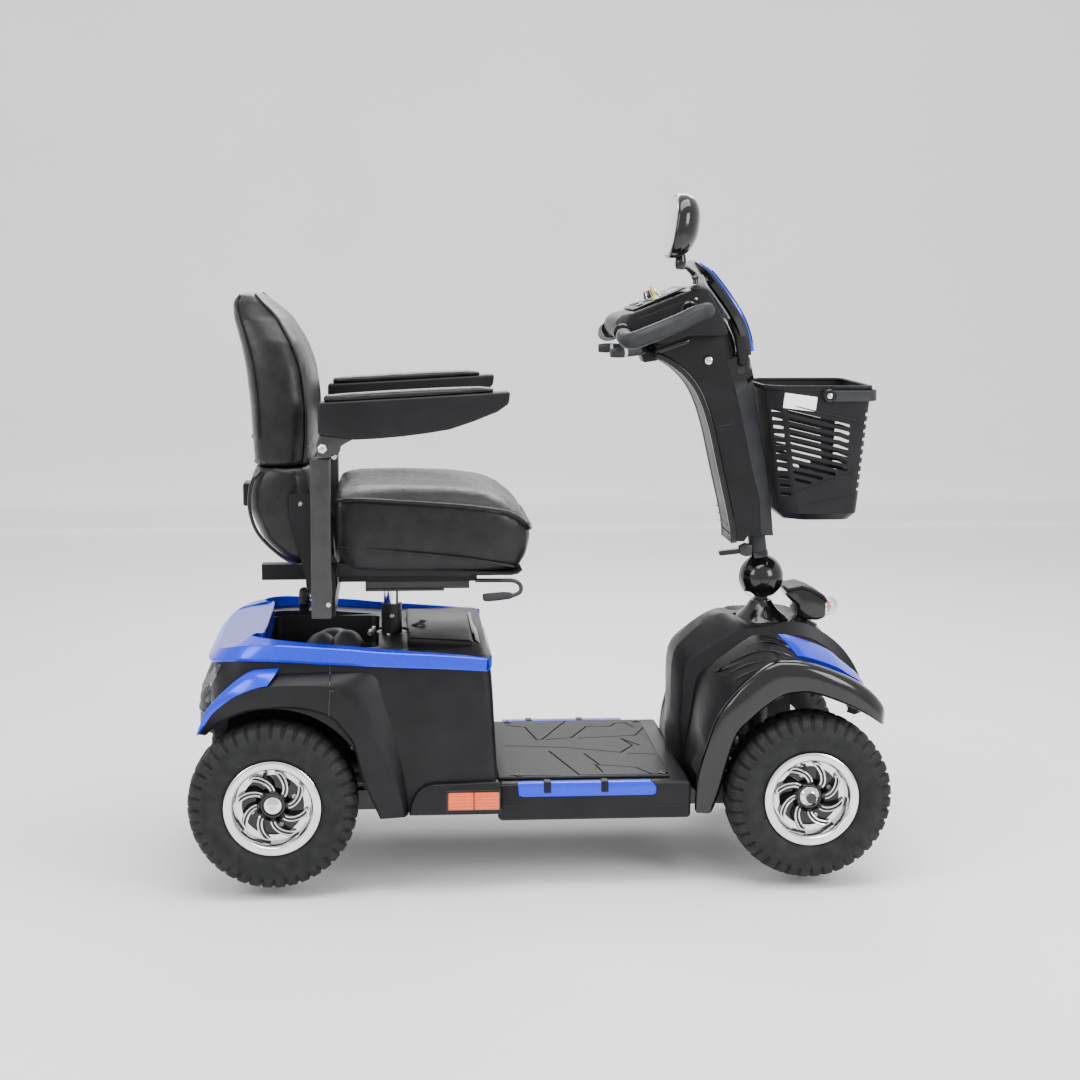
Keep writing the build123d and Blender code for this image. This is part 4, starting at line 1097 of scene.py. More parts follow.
def top_cover():
    """Flat inner strips round the well, and the raised cover in front of the seat post."""
    plate = loft("well_strips", [plan_ring(-40, 420, 262, 60, 10, z) for z in (440, 462)], "chassis", SATIN)
    lean = void(mm(-200, -400, 466), mm(600, 400, 560))
    for v in lean.data.vertices:
        rel = (v.co.x - REAR_AXLE) * 1000
        if v.co.z < 0.5:
            v.co.z = (474 - 0.075 * rel) / 1000 - 0.006
    cut(
        plate, lean,
        void(mm(-28, -186, 380), mm(212, 186, 520), 0.03),
        void(mm(196, -40, 380), mm(264, 40, 520), 0.01),
    )
    bevelled(plate, 0.003, 3, 40.0)
    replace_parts(plate, "seat_shroud")
    shape = outline([(262, 448), (262, 469), (392, 461), (425, 424), (428, 400), (400, 400), (380, 440)])
    hump = slab("hump", shape, -0.168, 0.168, "chassis", SATIN, 0.008, 4)
    edge = outline([(393, 461.5), (398, 462), (431, 424), (430, 414), (424, 422)])
    trim = slab("hump_trim", edge, -0.15, 0.15, "chassis", GLOSS, 0.0015, 2)
    well = plan_ring(-30, 206, 182, 30, 20, 378)
    loft("well_floor", [well, [p + Vector((0, 0, 0.004)) for p in well]], "chassis", GRAINED)
    for n, (x, y, rx, ry, rz) in enumerate((
        (88, -28, 42, 74, 66), (140, -34, 44, 70, 72), (112, 52, 60, 62, 60),
    )):
        rings = []
        for k in range(1, 13):
            t = math.pi / 2 * (1 - k / 12)
            rings.append(
                oval(mm(x, y, 388 + rz * math.sin(t)), AHEAD, ACROSS, rx * math.cos(t) / 1000 + 0.0002,
                ry * math.cos(t) / 1000 + 0.0002, 2.3, 40),
            )
        rings.append([p - Vector((0, 0, 0.012)) for p in rings[-1]])
        lobe = loft(f"motor_cover_{n}", rings, "chassis", GREY, angle=60.0)
    socket = [(0, 0.03), (0.006, 0.032), (0.01, 0.031), (0.01, 0.0225), (0.0, 0.0225)]
    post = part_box("seat_post_tube")
    place = ((post[0].x + post[1].x) / 2, 0, 0.44)
    turned("post_collar", socket, place, UP, "chassis", STEEL, 48)
    for k in range(6):
        t = 2 * math.pi * k / 6 + 0.4
        spot = (place[0] + 0.047 * math.cos(t), 0.047 * math.sin(t), 0.446 if k % 2 else 0.443)
        turned(
            f"post_nut_{k}", [(0, 0.0065), (0.006, 0.0065), (0.007, 0.005), (0.012, 0.004), (0.012, TIP)], spot,
            UP, "chassis", ZINC, 6, 20,
        )
    tube(
        "post_clip", [mm(262, -30, 458), mm(275, -34, 468), mm(292, -30, 473), mm(300, -12, 474),
        mm(290, 2, 470)], 0.0028, "chassis", STEEL, 10, 6,
    )
    turned(
        "post_bolt", [(0, 0.006), (0.005, 0.006), (0.0065, 0.0045), (0.0065, TIP)], mm(231, -21, 487),
        (0, -1, 0), "chassis", ZINC, 6, 20,
    )
    for sign, hand in SIDES:
        hole = [(0, 0.0068), (0.0016, 0.0068), (0.0018, 0.005), (0.0006, 0.0045), (0.0006, TIP)]
        turned(f"strip_screw_{hand}", hole, mm(44, sign * 224, 465.2), UP, "chassis", GLOSS, 24)


def rear_lamps():
    """Bumper, and a side lamp in a black housing behind each corner."""
    rows = [  # y, rear x
        (-214, -116), (-206, -124), (-190, -136), (-160, -147), (-110, -151), (0, -152), (110, -151),
        (160, -147), (190, -136), (206, -124), (214, -116),
    ]
    rings = []
    for y, x in densified(rows, 4):
        rings.append([
            mm(x + 26, y, 300), mm(x + 2, y, 291), mm(x, y, 296), mm(x + 1, y, 352), mm(x + 6, y, 372),
            mm(x + 20, y, 406), mm(x + 34, y, 436), mm(x + 40, y, 436),
        ])
    bumper = loft("bumper_skin", rings, "chassis", SATIN, angle=24.0)
    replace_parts(bumper, "rear_bumper")
    groove = [mm(x - 0.4, y, 330) for y, x in rows]
    tube("bumper_groove", groove, 0.0022, "chassis", GLOSS, 8, 5)
    for sign, hand in SIDES:
        rows = [(-127, 212, 384), (-124, 216, 392), (-117, 222, 402), (-107, 232, 414), (-97, 244, 424)]
        rings = []
        for x, y, z in densified(rows, 4):
            rings.append([
                mm(x - 6, sign * (y - 2), z - 17), mm(x - 11, sign * (y + 2), z - 6),
                mm(x - 10, sign * (y + 5), z + 6), mm(x - 2, sign * (y + 6), z + 14),
                mm(x + 6, sign * (y - 6), z + 8), mm(x + 6, sign * (y - 10), z - 12),
            ])
        lamp_lens = loft(f"tail_lens_{hand}", rings, "chassis", CLEAR, angle=60.0)
        rings = []
        for x, y, z in densified([(-120, 190, 368), (-112, 206, 380), (-100, 222, 396), (-84, 246, 414)], 4):
            rings.append([
                mm(x - 12, sign * y, z - 26), mm(x - 14, sign * (y + 6), z - 12),
                mm(x + 10, sign * (y + 4), z + 24), mm(x + 22, sign * (y - 14), z + 10),
                mm(x + 12, sign * (y - 14), z - 26),
            ])
        loft(f"tail_housing_{hand}", rings, "chassis", GLOSS)


def marker(hand, sign):
    """Two-cell amber marker in a recess of the sill."""
    for n, (x0, x1) in enumerate(((338, 387), (388.5, 437))):
        cell = block(
            f"marker_{hand}_{n}", mm(x0, sign * 292.5, 153), mm(x1, sign * 299.5, 187), "chassis", AMBER,
            0.0022, 3,
        )
        if n == 0 and sign < 0:
            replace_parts(cell, "signal_lenses")
        ribs = []
        for k in range(5):
            z = 157 + 6.4 * k
            ribs.append(
                tube(f"marker_rib_{hand}_{n}_{k}", [mm(x0 + 4, sign * 299.6, z), mm(x1 - 4, sign * 299.6, z)],
                0.0007, "chassis", AMBER, 6, 1),
            )
        joined(f"marker_ribs_{hand}_{n}", ribs)
    low, high = mm(334, sign * 285, 149.5), mm(440, sign * 295.2, 191)
    block(f"marker_bed_{hand}", low, high, "chassis", GLOSS, 0.002)


rear_shell()
both("rear_flare", rear_flare)
near_accent, far_accent = both("rear_accent", rear_accent)
both("sill", sill)
shroud_ring()
top_cover()
rear_lamps()
for hand, sign in HAND.items():
    marker(hand, sign)
    # the panel joint down the side in front of the flare, and its clip
    tube(
        f"rear_joint_{hand}", [mm(113, sign * 284.6, 440), mm(113, sign * 285.5, 424),
        mm(113, sign * 305.0, 402), mm(110, sign * 300.5, 345)], 0.0011, "chassis", GLOSS, 6, 4,
    )
    turned(
        f"rear_clip_{hand}", [(0, 0.003), (0.001, 0.003), (0.0014, TIP)], mm(117, sign * 304.6, 395),
        (0, sign, 0), "chassis", GLOSS, 16,
    )


# ---- floor --------------------------------------------------------------------------
def deck():
    """The floor pan, the grooved mat and its screws, and the blue strips along the sides."""
    low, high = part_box("deck_mat")
    top = high.z
    pad = block("mat", low, high, "chassis", MAT, 0.003)
    lines = [
        [(483, 194), (519, 174), (536, 64), (548, 64), (612, 226)], [(557, 62), (612, 76), (652, 171),
        (709, 175), (718, 198), (742, 203), (756, 160)], [(627, 71), (751, 88), (790, 190)], [(468, 15),
        (590, -7), (703, -54), (734, 3), (717, 60), (748, 4)], [(717, -62), (776, -75), (782, -8)],
        [(555, -37), (600, -226), (742, -228)], [(626, -61), (648, -152), (719, -175), (742, -224),
        (782, -226)], [(464, -222), (560, -228)], [(640, -150), (648, -205)],
    ]
    cutters = []
    for line in lines:
        for a, b in zip(line, line[1:]):
            p, q = mm(*a, top * 1000), mm(*b, top * 1000)
            along = (q - p).normalized()
            across = Vector((-along.y, along.x, 0)) * 0.0026
            drop = Vector((0, 0, 0.0035))
            p, q = p - along * 0.0022, q + along * 0.0022
            ring = [
                p + across + drop, p - across + drop, p - across * 0.55 - drop * 0.8,
                p + across * 0.55 - drop * 0.8,
            ]
            cutters.append(loft("cutter", [ring, [v + (q - p) for v in ring]], "chassis", MAT))
    cut(pad, *cutters)
    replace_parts(pad, "deck_mat")
    for n, (x, y) in enumerate(((483, 222), (768, 215), (480, -222), (768, -222))):
        washer = [
            (-0.004, 0.0088), (0.0012, 0.0088), (0.0022, 0.0074), (0.0022, 0.0042), (0.0006, 0.0038),
            (0.0006, TIP),
        ]
        turned(f"deck_screw_{n}", washer, mm(x, y, top * 1000), UP, "chassis", GLOSS, 32)
    pan = block("floor_shell", mm(437, -265, 119), mm(818, 265, 194), "chassis", SATIN, 0.009, 5)
    cut(pan, void(mm(445, -257, 60), mm(810, 257, 184)))
    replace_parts(pan, "floor_pan")
    for sign, hand in SIDES:
        shape = outline([
            (474, 194.5), (476, 172), (484, 168), (742, 168), (748, 172), (748, 185), (740, 194.5),
        ])
        strip = slab(f"deck_strip_{hand}", shape, sign * 0.263, sign * 0.2685, "chassis", BLUE, 0.0022, 3)
        lid = outline([(474, 192), (474, 196.2), (738, 196.2), (742, 192)])
        top_strip = slab(f"deck_strip_top_{hand}", lid, sign * 0.248, sign * 0.2685, "chassis", BLUE, 0.0015, 3)
        for n, x in enumerate((533, 646)):
            low, high = mm(x - 7, sign * 246, 176), mm(x + 7, sign * 270.5, 198.5)
            block(f"deck_clip_{hand}_{n}", low, high, "chassis", SATIN, 0.002)
        joint = [mm(443, sign * 265.4, z) for z in (192, 122)]
        tube(f"floor_joint_{hand}", joint, 0.0012, "chassis", GLOSS, 6, 1)
        crease = [mm(x, sign * 265.3, z) for x, z in ((446, 150), (812, 144))]
        tube(f"floor_crease_{hand}", crease, 0.001, "chassis", SATIN, 6, 1)


# ---- front bodywork -----------------------------------------------------------------
# near half in frame mm: centre x, z; then x, y, z of crown edge, ridge, step, groove border, fender joint
HOOD = [
    (278, 150, 281, -30, 150, 295, -89, 150, 303, -98, 150, 316, -190, 150, 304, -262, 150),
    (278, 200, 281, -30, 200, 295, -89, 200, 303, -98, 200, 316, -190, 200, 304, -262, 200),
    (280, 300, 282, -36, 300, 298, -90, 298, 316, -97, 296, 318, -165, 290, 326, -262, 268),
    (285, 405, 286, -40, 403, 304, -90, 386, 328, -98, 366, 334, -142, 370, 350, -262, 335),
    (318, 452, 322, -36, 448, 333, -95, 416, 352, -102, 392, 352, -150, 405, 380, -262, 378),
    (352, 480, 360, -30, 474, 371, -100, 441, 385, -107, 415, 390, -158, 438, 412, -262, 408),
    (385, 491, 393, -30, 488, 409, -105, 464, 416, -112, 436, 429, -165, 465, 448, -262, 430),
    (420, 478, 426, -52, 476, 440, -105, 468, 446, -112, 442, 458, -168, 465, 470, -262, 436),
    (475, 464, 475, -64, 466, 480, -105, 474, 482, -112, 448, 486, -170, 463, 490, -262, 437),
    (515, 465, 515, -62, 467, 514, -105, 482, 515, -112, 454, 516, -173, 458, 512, -262, 431),
    (563, 464, 563, -60, 466, 563, -105, 472, 562, -112, 446, 562, -176, 441, 550, -262, 418),
    (622, 425, 622, -60, 427, 622, -105, 430, 617, -112, 408, 608, -176, 409, 594, -260, 397),
    (662, 374, 662, -60, 374, 661, -105, 372, 654, -111, 362, 646, -178, 371, 630, -256, 373),
    (674, 318, 674, -60, 318, 672, -102, 318, 668, -114, 316, 666, -170, 322, 660, -238, 326),
]
HOOD_STEPS = 4
HOOD_WALL = 0.004


def hood_point(rows, place, share, lift=0.0):
    """A point on the shroud: place counts table rows, share runs from the groove border to the fender."""
    row = rows[min(round(place * HOOD_STEPS), len(rows) - 1)]
    border, joint = Vector(row[11:14]), Vector(row[14:17])
    near = rows[min(round(place * HOOD_STEPS) + 2, len(rows) - 1)]
    out = (joint - border).cross(Vector(near[11:14]) - border).normalized()
    if out.dot(border - Vector((475, 0, 250))) < 0:
        out = -out
    p = border.lerp(joint, share) + out * lift
    return Vector((p.x / 1000, p.y / 1000, p.z / 1000))


def front_hood():
    """The front shroud, from the deck over the top to the nose, with its louvre grooves."""
    rows = densified(HOOD, HOOD_STEPS)
    skin = []
    for row in rows:
        near = [Vector((row[i] / 1000, row[i + 1] / 1000, row[i + 2] / 1000)) for i in (14, 11, 8, 5, 2)]
        centre = Vector((row[0] / 1000, 0, row[1] / 1000))
        far = [Vector((p.x, -p.y, p.z)) for p in reversed(near)]
        skin.append(near + [centre] + far)
    hood = loft("front_hood", skin, "chassis", SATIN, caps=False, closed=False, angle=13.0)
    if max(hood.data.polygons, key=lambda f: f.center.z).normal.z < 0:
        hood.data.flip_normals()
    shell = hood.modifiers.new("wall", "SOLIDIFY")
    shell.thickness = HOOD_WALL
    shell.offset = -1.0
    baked(hood, 13.0)
    bevelled(hood, 0.0012, 2, 13.0, 24.0)
    cut(hood, bore(mm(1000, 0, 468), UP, -0.1, 0.1, 0.058, 48), angle=24.0)
    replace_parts(hood, "front_shroud")
    lines = [
        [(5.5, 0.22), (6.5, 0.28), (7.5, 0.36), (8.5, 0.55), (9.3, 0.88)], [(4.5, 0.3), (5.5, 0.46),
        (6.5, 0.62), (7.3, 0.78), (8.0, 0.93)], [(4.3, 0.55), (5.0, 0.68), (5.8, 0.88)],
        [(4.25, 0.8), (4.75, 0.9), (5.25, 0.98)], [(6.5, 0.04), (7.4, 0.1), (8.3, 0.28), (9.2, 0.52)],
        [(3.7, 0.2), (4.3, 0.34), (5.2, 0.58)],
    ]
    for n, line in enumerate(lines):
        points = [hood_point(rows, s, v, 0.6) for s, v in line]
        radii = [0.0008] + [0.0032] * (len(points) - 2) + [0.0008]
        near = tube(f"louvre_right_{n}", points, radii, "chassis", GLOSS, 8, 6)
        mirrored_copy(near, f"louvre_left_{n}")


def front_fender(name):
    """Separate fender that sweeps over the wheel, near side."""
    rows = [  # crest x, z, y; edge x, z, y; inner x, z, y; root x, z, y
        (824, 126, -268, 852, 124, -270, 862, 124, -262, 836, 126, -232), (828, 202, -272, 872, 178, -278, 880,
        178, -262, 840, 204, -236), (842, 262, -282, 886, 240, -288, 894, 238, -262, 860, 262, -238), (862, 326,
        -290, 902, 292, -294, 906, 286, -262, 884, 322, -240), (893, 372, -297, 926, 320, -299, 930, 314, -262,
        910, 368, -240), (932, 410, -300, 958, 348, -300, 960, 344, -262, 944, 404, -240), (969, 434, -301, 993,
        370, -301, 993, 364, -262, 972, 428, -236), (1003, 437, -302, 1020, 375, -302, 1020, 369, -262, 1006,
        432, -232), (1044, 432, -302, 1046, 375, -302, 1048, 370, -262, 1050, 426, -228), (1090, 416, -301,
        1088, 362, -301, 1090, 356, -262, 1094, 412, -224), (1134, 396, -296, 1130, 344, -298, 1134, 338, -262,
        1138, 390, -218), (1172, 370, -285, 1166, 324, -292, 1172, 318, -262, 1170, 366, -208), (1198, 342,
        -268, 1190, 306, -280, 1198, 302, -258, 1190, 342, -196), (1208, 322, -250, 1202, 302, -262, 1206, 300,
        -246, 1200, 326, -186),
    ]
    rings = []
    for cx, cz, cy, ex, ez, ey, ix, iz, iy, rx, rz, ry in densified(rows, 4):
        top = ((cx + rx) / 2 + 2, (cy + ry) / 2, (cz + rz) / 2 + 3)
        mid = (cx * 0.5 + ex * 0.5 - 3, (cy + ey) / 2 - 4, (cz + ez) / 2 + 4)
        rings.append([
            (rx, ry, rz), top, (cx, cy + 12, cz + 1.5), (cx, cy + 2, cz - 4), mid, (ex, ey + 1, ez + 5),
            (ex, ey + 3, ez), (ix, iy, iz), (ix * 0.6 + cx * 0.4, iy, iz * 0.6 + cz * 0.4 - 2),
            (rx * 0.8 + ix * 0.2, ry, rz * 0.8 + iz * 0.2 - 4),
        ])
    return subdivided(band(name, rings, "chassis", GLOSS, 60.0))


def front_accent(name):
    """Blue strip between the shroud and the fender."""
    rows = [  # upper x, z, y; lower x, z, y
        (1003, 467, -172, 1027, 438, -250), (1022, 465, -173, 1040, 437, -252),
        (1045, 459, -174, 1060, 432, -253), (1088, 443, -176, 1086, 423, -253),
        (1112, 430, -177, 1110, 413, -252), (1133, 412, -178, 1130, 400, -250),
        (1158, 392, -180, 1153, 386, -242), (1174, 372, -182, 1170, 372, -214),
    ]
    rings = []
    for ux, uz, uy, lx, lz, ly in densified(rows, 5):
        mx, mz, my = (ux + lx) / 2, (uz + lz) / 2 + 4.5, (uy + ly) / 2 - 1.5
        rings.append([
            (ux, uy, uz + 2), (mx, my, mz), (lx, ly, lz + 2), (lx, ly + 4, lz - 6), (mx, my + 6, mz - 10),
            (ux, uy + 4, uz - 6),
        ])
    return band(name, rings, "chassis", BLUE, 60.0)


def nose():
    """Lower front valance between the fenders."""
    rows = [(-168, 1188), (-150, 1196), (-80, 1203), (0, 1205), (80, 1203), (150, 1196), (168, 1188)]
    rings = []
    for y, x in densified(rows, 4):
        rings.append([
            mm(x - 30, y, 346), mm(x - 8, y, 342), mm(x - 4, y, 326), mm(x - 8, y, 306), mm(x - 24, y, 300),
            mm(x - 40, y, 306),
        ])
    obj = loft("nose_valance", rings, "chassis", SATIN, angle=24.0)


LINER_R = 0.214


def wheel_wells():
    """Dark inner liners of the front wheel arches."""
    for sign, hand in SIDES:
        rings = []
        for k in range(25):
            t = math.radians(172 - 118 * k / 24)
            x, z = FRONT_AXLE + LINER_R * math.cos(t), min(WHEEL_R + LINER_R * math.sin(t), 0.372)
            out = Vector((math.cos(t), 0, math.sin(t))) * 0.004
            inner, outer = Vector((x, sign * 0.118, z)), Vector((x, sign * 0.262, z))
            rings.append([inner, outer, outer + out, inner + out])
        liner = loft(f"front_liner_{hand}", rings, "chassis", GRAINED)


def dome_arc(length, radius, angles):
    """(x, radius) points of the lamp dome's oval end."""
    turns = [math.radians(a) for a in angles]
    return [(0.012 + length * math.sin(t), radius * math.cos(t)) for t in turns]


def headlamp():
    """The headlamp pod with its visor, neck, bezel, reflector, bulb and clear dome."""
    shape = outline([
        (1046, 534), (1050, 519), (1070, 502), (1070, 478), (1084, 473), (1112, 471), (1130, 477), (1131, 514),
        (1120, 524), (1098, 536), (1078, 541),
    ])
    pod = slab("lamp_pod", shape, -0.043, 0.043, "chassis", GLOSS, 0.006, 4)
    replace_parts(pod, "headlamp_body")
    fin = outline([
        (1045, 532), (1046, 539), (1078, 545), (1100, 538), (1124, 525), (1133, 513), (1131, 508), (1118, 518),
        (1098, 531), (1078, 538),
    ])
    visor = slab("lamp_visor", fin, -0.046, 0.046, "chassis", SATIN, 0.0022, 3)
    neck = [mm(1098, 0, 468), mm(1092, 0, 456), mm(1086, 0, 440)]
    tube("lamp_neck", neck, [0.026, 0.03, 0.04], "chassis", SATIN, 28, 4)
    centre = mm(1131, 0, 494)
    bezel = [
        (-0.006, 0.0245), (0.004, 0.0245), (0.0055, 0.0235), (0.0055, 0.021), (0.001, 0.02), (-0.006, 0.02),
    ]
    turned("lamp_bezel", bezel, centre, AHEAD, "chassis", CHROME, 48)
    dome = [(0.0, 0.0205), (0.012, 0.0203)]
    dome += dome_arc(0.0215, 0.0203, range(10, 90, 10)) + [(0.0337, 0.0006), (0.0322, 0.0006)]
    dome += dome_arc(0.0198, 0.0188, range(80, 0, -10))
    dome += [(0.012, 0.0188), (0.0, 0.019)]
    glass = turned("lamp_dome", dome, centre, AHEAD, "chassis", CLEAR, 48)
    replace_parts(glass, "headlamp_lens")
    cup = [(0.0, 0.018), (0.003, 0.015), (-0.004, 0.009), (-0.006, TIP)]
    turned("lamp_reflector", cup, centre, AHEAD, "chassis", CHROME, 40)
    bulb = [(-0.004, 0.015), (0.006, 0.015), (0.012, 0.012), (0.018, 0.007), (0.021, TIP)]
    turned("lamp_bulb", bulb, centre, AHEAD, "chassis", AMBER, 24)


deck()
front_hood()
near_fender, far_fender = both("fender", front_fender)
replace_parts(near_fender, "front_fenders")
near_strip, far_strip = both("front_accent", front_accent)
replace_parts(near_strip, "body_trims")
nose()
wheel_wells()
headlamp()


# ---- tiller -------------------------------------------------------------------------
def at(x, y, z):
    """A frame point from frame millimetres."""
    return Vector((x / 1000, y / 1000, z / 1000))


def side(points):
    """A frame (x, z) outline from frame millimetres."""
    return [(x / 1000, z / 1000) for x, z in points]


LEAN = Vector((-0.1305, 0, 0.9914)).normalized()
REAR_EDGE = [(401, 637), (396, 682), (372, 786), (350, 880), (326, 943), (296, 982), (262, 1006), (240, 1016)]
FRONT_EDGE = [(488, 652), (476, 760), (455, 880), (443, 950), (430, 1020)]
SEAM = [(462, 652), (456, 730), (446, 766), (428, 847), (406, 940), (384, 1010)]


def cover():
    """The moulded cover over the column, with its trims, screws and cheeks."""
    rear, front = smooth_chain(REAR_EDGE, 5), smooth_chain(FRONT_EDGE, 4)
    foot = [(476, 654), (462, 648), (436, 652), (428, 640)]
    shape = side([(397, 640)] + rear[1:] + front[::-1] + foot)
    body = slab("cover_shell", shape, -0.0555, 0.0555, "tiller", SATIN, 0.007, 4)
    cut(body, bore(at(470, 0, 600), LEAN, -0.02, 0.12, 0.025, 40))
    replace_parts(body, "tiller_cover")
    shape = side(smooth_chain(SEAM, 4) + [(414, 1022), (431, 1018)] + front[-2::-1])
    nose_part = slab("cover_front", shape, -0.0572, 0.0572, "tiller", GREY, 0.0022, 3)
    for hand, sign in HAND.items():
        rings = []
        chain = [Vector((x, 0, z)) for x, z in rear]
        for i, p in enumerate(chain):
            along = (chain[min(i + 1, len(chain) - 1)] - chain[max(i - 1, 0)]).normalized()
            inward = Vector((along.z, 0, -along.x))
            ring = []
            for off, y in ((-1.5, 50), (-1.5, 57), (0.5, 59), (9, 59), (12, 56.5), (12, 50)):
                q = p + inward * off
                ring.append(at(q.x, sign * y, q.z))
            rings.append(ring)
        lip = loft(f"cover_lip_{hand}", rings, "tiller", GLOSS, angle=30.0)
        bevelled(lip, 0.0008, 2, 30.0)
        recess = side([(388, 1008), (406, 941), (441, 974), (432, 1016)])
        slab(f"cover_recess_{hand}", recess, sign * 0.055, sign * 0.0578, "tiller", GLOSS, 0.0006, 2)
        plug = [(0, 0.0092), (0.0012, 0.0092), (0.0022, 0.0082), (0.0024, TIP)]
        turned(f"cover_plug_{hand}", plug, at(414, sign * 57.8, 990), (0, sign, 0), "tiller", GREY, 32)
        washer = [(-0.001, 0.0118), (0.0006, 0.0118), (0.0012, 0.0105), (0.0004, 0.0098), (0.0004, TIP)]
        turned(f"cover_washer_{hand}", washer, at(348, sign * 55.5, 1010), (0, sign, 0), "tiller", SATIN, 36)
        head = [(0, 0.0082), (0.0022, 0.0078), (0.003, 0.0066), (0.003, 0.0034), (0.0012, 0.003), (0.0012, TIP)]
        turned(f"cover_screw_{hand}", head, at(348, sign * 55.9, 1010), (0, sign, 0), "tiller", CHROME, 36)
        for n, (a, b) in enumerate((((366, 875), (399, 883)), ((372, 868), (386, 872)))):
            tube(
                f"cover_clip_{hand}_{n}", [at(a[0], sign * 55.4, a[1]), at(b[0], sign * 55.4, b[1])], 0.0014,
                "tiller", GLOSS, 8, 1,
            )
        cheek = side([
            (238, 1021), (246, 1014), (262, 1004), (330, 1010), (398, 1012), (404, 1030), (392, 1070),
            (300, 1072), (237, 1052),
        ])
        slab(f"cover_cheek_{hand}", cheek, sign * 0.04, sign * 0.0554, "tiller", SATIN, 0.006, 4)
        slot = side([(240, 1026), (250, 1025), (306, 1044), (310, 1050), (304, 1054), (244, 1034)])
        slab(f"cover_slot_{hand}", slot, sign * 0.054, sign * 0.056, "tiller", GLOSS, 0.001, 2)
    pod = side([(214, 1022), (220, 1004), (246, 1008), (262, 1018), (262, 1030), (216, 1030)])
    slab("throttle_pod", pod, -0.03, 0.03, "tiller", SATIN, 0.003, 3)
    ribs = []
    for k in range(4):
        ends = [at(398 - 3.9 * k, y, 655 + 16 * k) for y in (-46, 46)]
        ribs.append(tube(f"cover_rib_{k}", ends, 0.0011, "tiller", SATIN, 8, 1))
    joined("cover_ribs", ribs)


def column():
    """The sleeve over the column's lower end, and the tilt lever's bracket."""
    pivot = Vector((475, 0, 558))
    tube("column_sleeve", [at(*(pivot + LEAN * d)) for d in (40, 120)], 0.0182, "tiller", GREY, 40, 1)
    ring = [(0, 0.0188), (0, 0.0202), (0.006, 0.0206), (0.012, 0.02), (0.012, 0.0188)]
    turned("column_ring", ring, at(*(pivot + LEAN * 43)), LEAN, "tiller", GLOSS, 40)
    bracket = side([(428, 606), (428, 622), (440, 628), (452, 626), (452, 604), (440, 602)])
    for hand, sign in HAND.items():
        slab(f"lever_cheek_{hand}", bracket, sign * 0.0095, sign * 0.0125, "tiller", STEEL, 0.0008, 2)
    dress("tilt_lever", GLOSS, 0.002, 3)


